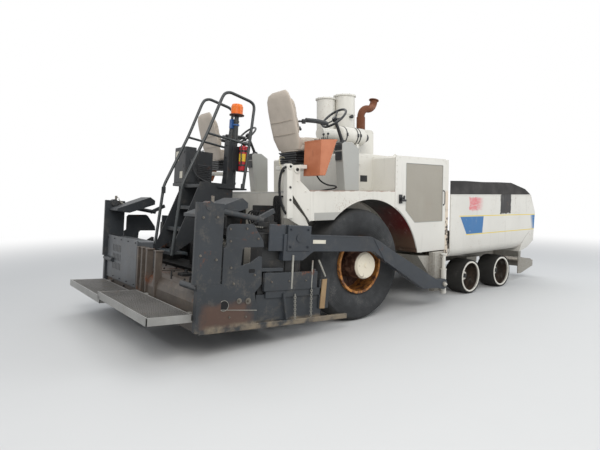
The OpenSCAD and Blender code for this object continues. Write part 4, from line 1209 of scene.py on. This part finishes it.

# End gates: chamfered column, stepped plate, lid box, front guard and shoe; the holes get dark discs
# of painted shade behind a worn ring, and bolts, wear, a plank and chains are pieces of their own
gateSpec = {
    "gate": {
        "plate": [
            ([(-2445, 1430), (-2445, 1468), (-2413, 1500), (-2170, 1500), (-2170, 1430)], 480, 1262, "z"),
            ([(-2151, 20), (-2151, 830), (-2122, 850), (-2122, 1040), (-2095, 1068), (-1840, 1080),
              (-1810, 1062), (-1694, 907), (-1684, 846), (-1915, 839), (-1936, 813), (-1947, 653),
              (-1832, 686), (-1730, 752), (-1702, 745), (-1688, 461), (-1765, 377), (-1743, 257),
              (-1726, 183), (-1726, 20)], 1470, 1495),
            ([(-1770, 1095), (-1770, 1150), (-1575, 1250), (-1555, 1204)], 1440, 1480),
            ([(-2390, 1120), (-2390, 1151), (-1939, 1336), (-1869, 1290), (-1869, 1234), (-2219, 1100)],
             1060, 1440)],
        "box": [((-2413, 1430, 20), (-2150, 1499, 481)), ((-2372, 1458, 2), (-440, 1497, 60), 6),
                ((-1726, 1446, 40), (-830, 1460, 345)), ((-1649, 1446, 380), (-930, 1490, 575), 5),
                ((-1695, 1446, 590), (-1421, 1490, 625), 4), ((-1618, 1446, 304), (-853, 1478, 387), 4),
                ((-1600, 1446, 560), (-1540, 1470, 600)), ((-1000, 1446, 560), (-940, 1470, 600)),
                ((-881, 1440, 145), (-733, 1478, 483), 4)],
        "rod": [((-2323, 1400, 1231), (-2323, 1504, 1231), 96, 32),
                ((-2200, 1465, 1190), (-1700, 1465, 1125), 56, 24),
                ((-2397, 1120, 446), (-2397, 1480, 446), 62, 24),
                ((-1395, 1486, 349), (-1334, 1486, 63), 28, 18)],
    },
    "bolts": {
        "rod": [((-1948, 1495, 305), (-1948, 1501, 305), 56, 24),
                ((-1843, 1495, 298), (-1843, 1502, 298), 64, 24),
                ((-2290, 1478, 1262), (-2290, 1478, 1330), 30, 18)],
        "bolt": [((-1948, 1501, 305), 26), ((-1843, 1501, 298), 30)]
                + [((x, 1495, z), 18) for x, z in (
                    (-2090, 1020), (-1900, 1030), (-1760, 930), (-2080, 900), (-2060, 640), (-2020, 480),
                    (-1780, 560), (-2050, 150), (-1860, 140))]
                + [((x, 1500, z), 20) for x, z in ((-2390, 1120), (-2240, 1130), (-2400, 760), (-2230, 720))]
                + [((x, 1490, 480), 16) for x in (-1560, -1330, -1100)],
    },
    # thin near-black discs on the face: painted shade where the holes are
    "holeShade": {
        "rod": [((-2118, 1494.5, 266), (-2118, 1495.8, 266), 100, 36)],
        "plate": [([(-1848, 582), (-1784, 582), (-1776, 602), (-1784, 622), (-1848, 622), (-1856, 602)],
                   1494.5, 1495.8)],
    },
    "wear": {
        "sweep": [([(-2118 + 52 * math.cos(turn), 1496, 266 + 52 * math.sin(turn)) for turn in circle(28)],
                   6, 6, True)],
        "plate": [([(-2150, 226), (-2150, 232), (-1732, 200), (-1732, 193)], 1495, 1499)],
        "rod": [((-920, 1482, 701), (-808, 1482, 515), 22, 18),
                ((-1290, 1484, 760), (-1290, 1484, 395), 26, 18),
                ((-1010, 1484, 700), (-1010, 1484, 395), 18, 18)],
    },
    "plank": {"plate": [([(-870, 150), (-852, 480), (-786, 486), (-800, 146)], 1479, 1492)]},
    "chains": {"chain": [((-1240, 1492, 330), (-1225, 1494, 70), 12, 7),
                         ((-1010, 1490, 395), (-1000, 1494, 75), 14, 7),
                         ((-2290, 1450, 1330), (-2150, 1300, 1200), 10, 6, 40)]},
}


def makeGates():
    for label in sides:
        body = "screed_extension_" + label
        parts = {part: Shape(label) for part in gateSpec}
        for part, shape in parts.items():
            shape.draw(gateSpec[part])
        parts["gate"].piece("gate", body, "slate_paint", gateSteel, onScreed=True, bevelWidth=0.003,
                            replaces="end_gate_" + label)
        parts["bolts"].piece("gateBolts", body, "slate_paint", wornSteel, onScreed=True)
        # near-black rubber finish gives the holes painted shade
        parts["holeShade"].piece("gateHoleShade", body, "slate_paint", hoseRubber, onScreed=True)
        parts["wear"].piece("gateWear", body, "worn_steel", paleSteel, onScreed=True)
        parts["plank"].piece("gatePlank", body, "slate_paint", plankWood, onScreed=True)
        parts["chains"].piece("gateChains", body, "worn_steel", paleSteel, onScreed=True)


makeGates()
print("end gates ready")

# Ladder and its hand rails; the rails run (x, z) up the rear, over the top and down the front
stairSpec = {
    "rail": [(-2155, 640), (-2073, 1474), (-1776, 2145), (-1606, 2600), (-1570, 2660), (-1500, 2685),
             (-1200, 2628), (-1150, 2600), (-1136, 2550), (-1179, 2070), (-1240, 1495)],
    "middle": [(-1775, 2134), (-1181, 2068)],
    "treads": [(-2143, 676), (-2017, 960), (-1902, 1233), (-1805, 1513)],
    "cheek": [(-2160, 640), (-2160, 700), (-1830, 1540), (-1380, 1540), (-1380, 985), (-1640, 985)],
    "feet": [(-2150, 700), (-2078, 1420), (-1236, 1520)],
    "railY": 275, "bend": 60, "half": 250, "edges": (0, 188),
    "bars": {"count": 11, "start": 14, "step": 17, "wide": 5},
    "teeth": {"count": 25, "start": -238, "step": 19.8, "wide": 8, "high": 4},
    "braces": (-120, 0, 120),
    "landing": ((-1600, -290, 1480), (-1190, 290, 1500), 2),
}


def easedPath(points, reach, steps=4):
    points = [Vector(p) for p in points]
    result = [points[0]]
    for before, here, after in zip(points, points[1:], points[2:]):
        near = min(reach, (here - before).length * 0.45, (after - here).length * 0.45)
        start = here + (before - here).normalized() * near
        end = here + (after - here).normalized() * near
        for k in range(steps + 1):
            t = k / steps
            result.append(start * (1 - t) ** 2 + here * 2 * t * (1 - t) + end * t * t)
    result.append(points[-1])
    return result


def makeStairs():
    steps, rails, grip = Shape(), Shape(), Shape()
    y, half, bars, teeth = (stairSpec[key] for key in ("railY", "half", "bars", "teeth"))
    for x, z in stairSpec["treads"]:
        for edge in stairSpec["edges"]:
            steps.box((x + edge, -half, z - 40), (x + edge + 12, half, z - 2), 2)
        for k in range(bars["count"]):
            at, wide = x + bars["start"] + k * bars["step"], bars["wide"]
            grip.box((at, -half, z - 26), (at + wide, half, z - 1))
            for j in range(teeth["count"]):
                low = teeth["start"] + j * teeth["step"]
                grip.plate([(at, z - 1), (at + wide, z - 1), (at + wide / 2, z + teeth["high"])], low,
                           low + teeth["wide"])
        for brace in stairSpec["braces"]:
            grip.box((x + 12, brace - 3, z - 30), (x + 190, brace + 3, z - 4))
    path = easedPath([(x, y, z) for x, z in stairSpec["rail"]], stairSpec["bend"])
    rails.draw({"sweep": [(path, 38, 14), ([(x, y, z) for x, z in stairSpec["middle"]], 30, 12)]},
               bothSides=True)
    steps.draw({
        "plate": [(stairSpec["cheek"], half, half + 12)],
        "box": [((x - 26, 254, z - 40), (x + 26, 270, z + 40), 3) for x, z in stairSpec["feet"]],
        "bolt": [((x, 294, z), 16) for x, z in stairSpec["feet"]]}, bothSides=True)
    steps.box(*stairSpec["landing"])
    steps.piece("stairFrame", "screed", "slate_paint", slateSteel, onScreed=True, replaces="stairs")
    rails.piece("stairRails", "screed", "slate_paint", railSteel, onScreed=True, angle=40)
    grip.piece("stairGrips", "screed", "slate_paint", stepSteel, onScreed=True)


makeStairs()

# Control boxes on their shelf, with louvres, latches, blank labels and a column
boxSpec = {
    "boxes": {
        "box": [((-1810, 262, 1500), (-1390, 620, 1540), 4), ((-1807, 262, 1540), (-1651, 600, 2014), 8),
                ((-1640, 300, 1540), (-1390, 600, 1980), 8), ((-1655, 420, 1814), (-1640, 560, 1970), 3),
                ((-1360, -60, 1500), (-1270, 60, 2120), 6), ((-1300, -70, 1740), (-1110, -60, 2060), 2),
                ((-1230, -190, 1730), (-1110, -60, 1740), 2)]},
    "fittings": {
        "plate": [([(-1642, z), (-1652, z + 3), (-1642, z + 14)], 330, 570) for z in range(1570, 1810, 24)]
                 + [([(300, z), (292, z + 3), (300, z + 14)], -1610, -1420, "x")
                    for z in range(1570, 1810, 24)],
        "box": [((-1812, 300, z - 16), (-1806, 322, z + 16), 2) for z in (1600, 1760, 1940)],
        "rod": [((-1515, y, 1980), (-1515, y, 2004), 18, 10) for y in (360, 420, 480, 540)]
               + [((-1271, y, 2120), (-1271, y, 2140), 12, 8) for y in (-40, -20, 0, 20, 40)],
        "bolt": [((-1360, 0, z), 16, (-1, 0, 0)) for z in (1560, 1700, 1900, 2060)],
        "tube": [([(-1730, 262, 1850), (-1720, 240, 1780), (-1650, 225, 1640), (-1500, 180, 1560),
                   (-1380, 120, 1520)], 20),
                 ([(-1560, 300, 1620), (-1550, 262, 1600), (-1450, 200, 1560), (-1360, 100, 1530)], 16)],
    },
    "labels": {"box": [((-1809.5, 330, 1600), (-1806.5, 410, 1690), 1),
                       ((-1809.5, 470, 1830), (-1806.5, 560, 1960), 1)]},
}


def makeBoxes():
    boxes, bits, labels = (Shape() for k in range(3))
    boxes.draw(boxSpec["boxes"])
    boxes.piece("controlBoxes", "screed", "slate_paint", slateSteel, onScreed=True, replaces="control_boxes")
    bits.draw(boxSpec["fittings"])
    bits.piece("boxFittings", "screed", "black_plastic", blackPlastic, onScreed=True)
    labels.draw(boxSpec["labels"])
    labels.piece("boxLabels", "screed", "grey_paint", blankLabel, onScreed=True)


makeBoxes()

# Extinguisher's bands, blank label, valve and hose; beacon lens with its base, pole and blue box
safetySpec = {
    "fittings": {
        "lathe": [([(60.5, 0), (64, 0), (64, 22), (60.5, 22)], (-1170, -131, z), 32) for z in (1800, 1985)],
        "rod": [((-1170, -131, 2060), (-1170, -131, 2120), 36),
                ((-1170, -165, 2085), (-1170, -150, 2085), 34)],
        "box": [((-1180, -140, 2112), (-1090, -122, 2126), 3), ((-1180, -140, 2134), (-1080, -122, 2146), 3)],
        "tube": [([(-1170, -131, 2075), (-1215, -150, 2080), (-1235, -170, 2030), (-1232, -178, 1900),
                   (-1228, -176, 1800)], 17)],
    },
    "label": {"centre": (-1170, -131), "reach": (60, 61.5), "start": 168, "step": 12, "strips": 8,
              "z": (1860, 1960)},
    "lens": {"ridges": 14, "pitch": 9, "outer": 80, "inner": 77, "taper": 6,
             "top": [(66, 132), (40, 139), (0.01, 140)]},
    "base": {"lathe": [([(0.01, 0), (62, 0), (98, 8), (100, 20), (84, 24), (0.01, 24)], (-1230, 0, 2466))]},
    "pole": {"rod": [((-1230, 0, 1500), (-1230, 0, 2468), 60, 24)]
                    + [((-1230, 0, z), (-1230, 0, z + 26), 74, 24) for z in (1560, 1820, 2110, 2380)],
             "box": [((-1262, 30, 2150), (-1198, 90, 2300), 8)]},
    "blueBox": {"box": [((-1285, 34, 2305), (-1205, 94, 2430), 6)],
                "lathe": [([(38, 0), (42, 0), (42, 18), (38, 18)], (-1230, 0, 2340), 20)]},
}


def makeSafety():
    bits, label, lens, base, pole, box = (Shape() for k in range(6))
    bits.draw(safetySpec["fittings"])
    bits.piece("extinguisherFittings", "screed", "black_plastic", blackPlastic, onScreed=True)
    spec = safetySpec["label"]
    (x, y), (near, far) = spec["centre"], spec["reach"]
    turns = [math.radians(spec["start"] + spec["step"] * k) for k in range(spec["strips"] + 1)]
    for before, after in zip(turns, turns[1:]):
        label.plate([(x + reach * math.cos(turn), y + reach * math.sin(turn)) for turn, reach in (
            (before, near), (before, far), (after, far), (after, near))], *spec["z"], "z")
    label.piece("extinguisherLabel", "screed", "amber_plastic", yellowLabel, onScreed=True)
    spec = safetySpec["lens"]
    profile = [(0.01, 0)]
    for k in range(spec["ridges"]):
        z = k * spec["pitch"]
        taper = spec["taper"] if k > spec["ridges"] - 3 else 0
        profile += [(spec["outer"] - taper, z), (spec["inner"] - taper, z + 5)]
    lens.lathe(profile + spec["top"], (-1230, 0, 2490))
    lens.piece("beaconLens", "screed", "amber_plastic", amberPlastic, onScreed=True, smooth=True,
               replaces="beacon")
    base.draw(safetySpec["base"])
    base.piece("beaconBase", "screed", "rusty_steel", beaconBase, onScreed=True, smooth=True)
    pole.draw(safetySpec["pole"])
    pole.piece("beaconPole", "screed", "slate_paint", slateSteel, onScreed=True, angle=40)
    box.draw(safetySpec["blueBox"])
    box.piece("blueBox", "screed", "black_plastic", bluePlastic, onScreed=True)


makeSafety()
print("stairs, boxes and beacon ready")

# Screed extensions: curved rear, posts and tube, with the left one's box behind a cover plate
extensionSpec = {
    "body": {
        "plate": [([(-2365, 2), (-2365, 280), (-2347, 350), (-2303, 404), (-2235, 430), (-1840, 430),
                    (-1840, 2)], 42, 1428)],
        "rod": [((-1765, 40, 250), (-1765, 1430, 250), 90, 28)],
        "box": [((-1842, y, 150), (-1705, y + 20, 320)) for y in (40, 1410)],
    },
    "posts": {"right": (60, 330), "left": (50, 190), "wide": 45, "cap": 12},
    "bolts": {
        "bolt": [((x, y, 430), 22, (0, 0, 1)) for x in (-2230, -2060, -1900)
                 for y in (150, 480, 820, 1150, 1380)]
                + [((-2365, y, 150), 24, (-1, 0, 0)) for y in (240, 700, 1160)],
        "box": [((-2140, y, 428), (-1990, y + 130, 462), 5) for y in (430, 760, 1090)],
        "rod": [((-2065, y, 462), (-2065, y, 500), 40, 14) for y in (495, 825, 1155)]
               + [((-2330, y, 430), (-2330, y, 520), 18, 10) for y in (240, 700, 1160)],
    },
    "cover": {"box": [((-2362, 275, 430), (-2100, 1425, 755), 6),
                      ((-2385, 250, 190), (-2366, 1425, 775), 4)]},
    # thin dark boxes in the cover's slots are painted shade; the rows are real bolts
    "slots": {"box": [((-2387, y, z), (-2384, y + 22, z + 90), 0.8) for y in range(850, 1210, 60)
                      for z in (330, 450, 570)],
              "row": [((-2386, 290, z), (-2386, 1390, z), 5, 14, (-1, 0, 0)) for z in (740, 225)]},
}


def makeExtensions():
    for label in sides:
        side = "screed_extension_" + label
        body, bits = Shape(label), Shape(label)
        body.draw(extensionSpec["body"])
        posts = extensionSpec["posts"]
        for y in posts[label]:
            body.box((-2385, y, 180), (-2305, y + posts["wide"], 705), 3)
            body.box((-2390, y - posts["cap"], 690), (-2295, y + posts["wide"] + posts["cap"], 706), 3)
        body.piece("extensionBody", side, "slate_paint", extensionSteel, onScreed=True, bevelWidth=0.003,
                   replaces="extension_" + label)
        bits.draw(extensionSpec["bolts"])
        bits.piece("extensionBolts", side, "slate_paint", darkSteel, onScreed=True)
    cover, slots = Shape(), Shape()
    cover.draw(extensionSpec["cover"])
    cover.piece("extensionCover", "screed_extension_left", "slate_paint", coverSteel, onScreed=True)
    # dark finish on the slot boxes is painted shade inside the openings, and the bolts' own colour
    slots.draw(extensionSpec["slots"])
    slots.piece("coverSlotShadeAndBolts", "screed_extension_left", "slate_paint", darkSteel, onScreed=True)


makeExtensions()

# Walkways of bar grating with a worn lip and skirt; each side has its inner y and its top
walkwaySpec = {"right": (-105, 190), "left": (25, 145), "rear": -2858, "front": -2407, "outer": 1420,
               "bars": 24, "barSpan": 425, "crossBars": 34, "hooks": (120, 1280), "braces": (420, 760, 1100)}


def makeWalkways():
    rear, front, outer = walkwaySpec["rear"], walkwaySpec["front"], walkwaySpec["outer"]
    count, crossCount = walkwaySpec["bars"], walkwaySpec["crossBars"]
    for label, way in sides.items():
        body = "screed_extension_" + label
        inner, top = walkwaySpec[label]
        edge, bars = Shape(label), Shape(suffix=label.capitalize())
        edge.box((rear, inner, top - 75), (rear + 14, outer, top + 6), 2)
        edge.box((front - 14, inner, top - 60), (front, outer, top), 2)
        for y in (inner, outer - 14):
            edge.box((rear, y, top - 75), (front, y + 14, top + 2), 2)
        for y in walkwaySpec["hooks"]:
            edge.box((front - 14, y, top - 40), (-2355, y + 40, top), 3)
        for y in walkwaySpec["braces"]:
            edge.box((rear + 12, y, top - 38), (front - 8, y + 8, top - 6))
        edge.piece("walkwayEdge", body, "deck_steel", lipSteel, onScreed=True, replaces="walkway_" + label)
        y0, y1 = sorted((way * inner, way * outer))
        for k in range(count):
            x = rear + 16 + k * walkwaySpec["barSpan"] / count
            bars.box((x, y0 + 14, top - 26), (x + 6, y1 - 14, top + 1))
        for k in range(crossCount):
            y = y0 + 20 + k * (y1 - y0 - 50) / (crossCount - 1)
            bars.box((rear + 14, y, top - 10), (-2420, y + 9, top - 1))
        bars.piece("walkwayBars", body, "deck_steel", barSteel, onScreed=True)


makeWalkways()
print("extensions and walkways ready")

# Tow points: guide, screw rod, clamps and pin; and the blocks at the arm's rear end
towSpec = {
    "guides": {
        "box": [((1440, 1250, 200), (1690, 1330, 780), 6)]
               + [((x, 1330, 210), (x + 20, 1346, 770), 3) for x in (1452, 1660)]
               + [((1600, 1330, z), (1656, 1380, z + 40), 4) for z in (210, 690)],
        "rod": [((1500, 1330, 330), (1500, 1500, 330), 70, 24)],
    },
    "rods": {
        "rod": [((1628, 1375, 163), (1628, 1375, 520), 78, 24),
                ((1628, 1375, 500), (1628, 1375, 750), 54, 24)]
               + [((1628, 1375, z), (1628, 1375, z + 16), 89, 24) for z in (180, 512, 738)],
        "bolt": [((1500, 1500, 330), 34)],
    },
    "blocks": {
        "box": [((-1600, 1440, 801), (-1392, 1465, 1085), 6), ((-1379, 1430, 801), (-1058, 1492, 1085), 8)],
        "plate": [([(-1050, 968), (-90, 968), (-90, 978), (-1050, 978)], 1481, 1484),
                  ([(-45, 972), (-40, 965), (215, 660), (206, 655)], 1481, 1484)],
        "bolt": [((x, 1492, z), 24) for x in (-1340, -1100) for z in (1040, 850)],
        "rod": [((-1219, 1492, 945), (-1219, 1500, 945), 90, 28)],
    },
    "label": {"box": [((-1020, -1482.5, 888), (-830, -1480.2, 930), 0.8)]},
}


def makeTowPoints():
    guides, rods, blocks, label = (Shape() for k in range(4))
    for shape, part in ((guides, "guides"), (rods, "rods"), (blocks, "blocks")):
        shape.draw(towSpec[part], bothSides=True)
    guides.piece("towGuides", "tractor", "white_paint", whiteLow, bevelWidth=0.002, replaces="tow_points")
    rods.piece("towRods", "tractor", "white_paint", rodPaint, angle=40)
    blocks.piece("armBlocks", "screed", "slate_paint", armSteel, onScreed=True, bevelWidth=0.002)
    label.draw(towSpec["label"])
    label.piece("armLabel", "screed", "slate_paint", blankLabel, onScreed=True)


makeTowPoints()

# Rubber boards that raise the hopper wings, with their clamp strips and the wings' rim
boardSpec = {
    "board": {"plate": [([(1921, 1540), (1921, 1833), (2300, 1838), (2800, 1829), (3300, 1834), (3700, 1831),
                          (4196, 1727), (4387, 1637), (4360, 1540)], 1262, 1273)]},
    "strip": {"box": [((1930, 1256, 1560), (4330, 1262, 1600), 2)],
              "row": [((1990, 1256, 1580), (4280, 1256, 1580), 12, 16, (0, -1, 0))]},
    "rim": {"box": [((1902, 1274, 1617), (4370, 1296, 1627), 2)],
            "row": [((x, 1290, 760), (x, 1290, 1560), 9, 9) for x in (1912, 1944)]},
}


def makeBoards():
    for label in sides:
        board, strip, rim = (Shape(label) for k in range(3))
        board.draw(boardSpec["board"])
        board.piece("wingBoard", "wing_" + label, "black_plastic", boardRubber)
        strip.draw(boardSpec["strip"])
        strip.piece("boardStrip", "wing_" + label, "worn_steel", wornSteel)
        rim.draw(boardSpec["rim"])
        rim.piece("wingRim", "wing_" + label, "white_paint", wingPaint)


makeBoards()

# Bolts of the drive wheels' hub cap and rim; rows: distance from the axle, y, size, turns
nutRows = [(140, 1366, 12, circle(10)), (232, 985, 26, circle(16, 0.5))]


def makeWheelNuts():
    for label in sides:
        nuts = Shape(label)
        for reach, y, size, turns in nutRows:
            for turn in turns:
                nuts.bolt((reach * math.cos(turn), y, 720 + reach * math.sin(turn)), size)
        nuts.rod((0, 1368, 720), (0, 1378, 720), 60, 20)
        nuts.piece("driveNuts", "drive_wheel_" + label, "rusty_steel", driveRim)


makeWheelNuts()
print("tow points, boards and wheel nuts ready")

# Hydraulic valves, pipes and fittings behind the deck and on the screed
clutterSpec = {
    "seed": 11, "pipes": 16, "shortPipes": {"count": 8, "start": 380, "step": 22},
    "valves": {
        "box": [((-1500, 1000, 985), (-1380, 1280, 1100), 6), ((-1480, 1040, 1100), (-1400, 1240, 1180), 5),
                ((-1560, 640, 985), (-1400, 960, 1005), 3), ((-1620, 360, 985), (-1420, 560, 1160), 8),
                ((-1590, 1090, 620), (-1500, 1290, 900), 6), ((-1330, 1260, 560), (-1210, 1400, 860), 6),
                ((-1200, 1290, 440), (-1120, 1400, 800), 5)],
        "rod": [((-1330, 760, 1010), (-1330, 1260, 1010), 110, 28),
                ((-1330, 740, 1010), (-1330, 760, 1010), 130, 28),
                ((-1560, 690, 1020), (-1560, 960, 1020), 74, 20),
                ((-1270, 1330, 740), (-1270, 1330, 870), 64, 20),
                ((-1160, 1345, 300), (-1160, 1345, 440), 90, 24)]
               + [((-1500, y, 1040), (-1540, y, 1040), 26, 10) for y in range(1020, 1272, 36)]
               + [((-1440, y, 1180), (-1440, y, 1212), 22, 10) for y in range(1020, 1272, 36)],
    },
    # pale rods and stem caps: partly bright steel piston rods, partly painted glints on the hydraulics
    "rods": {"rod": [((-1540, y, 1040), (-1548, y, 1040), 16, 10) for y in range(1020, 1272, 36)]
                    + [((-1330, 500, 1010), (-1330, 742, 1010), 54, 20),
                       ((-1160, 1345, 170), (-1160, 1345, 302), 44, 18),
                       ((-1270, 1330, 868), (-1270, 1330, 925), 30, 14)]},
    "rearValves": {"box": [((-905, 120, 1180), (-860, 560, 1480), 6)],
                   "rod": [((-905, y, 1400), (-935, y, 1400), 34, 12) for y in range(160, 556, 66)]},
    "rearPipes": {"tube": [([(-930, y, 1400), (-985, y, 1380), (-1010, y + 30, 1280), (-960, y + 60, 1150),
                             (-880, y + 60, 1060), (-850, y + 50, 1030)], 24) for y in range(160, 556, 66)]
                          + [([(-858, y, 1600), (-900, y, 1560), (-905, y, 1300), (-890, y, 1000),
                               (-856, y, 960)], 20) for y in range(620, 790, 34)]},
}


def makeClutter():
    dice = random.Random(clutterSpec["seed"])

    def drawn(*ranges):
        return Vector([dice.uniform(low, high) for low, high in ranges])
    for label in sides:
        valves, pipes, rods = (Shape(label) for k in range(3))
        valves.draw(clutterSpec["valves"])
        for k in range(clutterSpec["pipes"]):
            start = drawn((-1540, -1400), (1010, 1200), (1030, 1170))
            end = drawn((-1440, -1270), (1020, 1380), (560, 880))
            middle = start.lerp(end, 0.35) + drawn((0, 60), (-30, 30), (10, 50))
            later = start.lerp(end, 0.75) + drawn((0, 50), (-20, 30), (-20, 20))
            pipes.tube([start, middle, later, end], dice.choice((18, 22, 26)))
        short = clutterSpec["shortPipes"]
        for k in range(short["count"]):
            y = short["start"] + k * short["step"]
            pipes.tube([(-1600 + 12 * k, y, 1150), (-1640, y + 30, 1215 - 6 * k),
                        (-1560, y + 150, 1190 - 8 * k), (-1470, y + 330, 1120)], dice.choice((16, 20)))
        valves.piece("screedValves", "screed", "slate_paint", darkSteel, onScreed=True)
        pipes.piece("screedPipes", "screed", "black_plastic", hoseRubber, onScreed=True, smooth=True)
        # pale steel gives the piston rods their bright metal and paints glints on the valve stems
        rods.draw(clutterSpec["rods"])
        rods.piece("screedRodsAndGlints", "screed", "worn_steel", paleSteel, onScreed=True)
    valves, pipes = Shape(), Shape()
    valves.draw(clutterSpec["rearValves"], bothSides=True)
    pipes.draw(clutterSpec["rearPipes"], bothSides=True)
    valves.piece("rearValves", "tractor", "black_plastic", darkSteel)
    pipes.piece("rearPipes", "tractor", "black_plastic", hoseRubber, smooth=True)


makeClutter()
print("valves and pipes ready")


def makeStage():
    world = bpy.data.worlds.new("studio")
    bpy.context.scene.world = world
    world.use_nodes = True
    tree = world.node_tree
    tree.nodes.clear()
    wire = Wire(tree)
    rays = wire.node("ShaderNodeLightPath", output="Is Camera Ray").socket.node
    seen = Wire(tree, rays.outputs["Is Camera Ray"]).most(Wire(tree, rays.outputs["Is Glossy Ray"]))
    seen = seen.most(Wire(tree, rays.outputs["Is Transmission Ray"]))
    soft = wire.node("ShaderNodeBackground", inputs={"Color": (*studio["ambient"], 1),
                                                     "Strength": studio["ambientStrength"]})
    white = wire.node("ShaderNodeBackground", inputs={"Color": (1, 1, 1, 1), "Strength": 1.0})
    mixed = wire.node("ShaderNodeMixShader", inputs={0: seen, 1: soft, 2: white})
    out = tree.nodes.new("ShaderNodeOutputWorld")
    tree.links.new(mixed.socket, out.inputs["Surface"])

    floorMesh = bmesh.new()
    bmesh.ops.create_grid(floorMesh, x_segments=1, y_segments=1, size=studio["floorSize"])
    data = bpy.data.meshes.new("floor")
    floorMesh.to_mesh(data)
    floorMesh.free()
    floor = bpy.data.objects.new("floor", data)
    bpy.context.scene.collection.objects.link(floor)
    f = Finish("floorPaper", Roughness=0.9, Specular_IOR_Level=0.1)
    x, y, z = f.axes()
    f.connect("Base Color", f.mix(f.noise(2.0, 3.0) * 0.1, studio["floorColour"], (0.5, 0.5, 0.5)))
    far = ((x * x + y * y) ** 0.5).above(*studio["floorFade"])
    glow = f.wire.node("ShaderNodeEmission", inputs={"Color": (1, 1, 1, 1), "Strength": 1.0})
    body = Wire(f.tree, f.shader.outputs[0])
    joined = f.wire.node("ShaderNodeMixShader", inputs={0: far, 1: body, 2: glow})
    f.tree.links.new(joined.socket, f.tree.nodes["Material Output"].inputs["Surface"])
    data.materials.append(f.material)

    for name, spec in studio["lamps"].items():
        lampData = bpy.data.lights.new(name, "AREA")
        lampData.size = spec["size"]
        lampData.energy = spec["energy"]
        lampData.color = spec["color"]
        lamp = bpy.data.objects.new(name, lampData)
        lamp.location = spec["at"]
        lamp.rotation_mode = "QUATERNION"
        aim = Vector(studio["lampsAim"]) - Vector(spec["at"])
        lamp.rotation_quaternion = aim.to_track_quat("-Z", "Y")
        bpy.context.scene.collection.objects.link(lamp)


makeStage()
bpy.context.scene.view_settings.view_transform = "Standard"
print("stage ready")
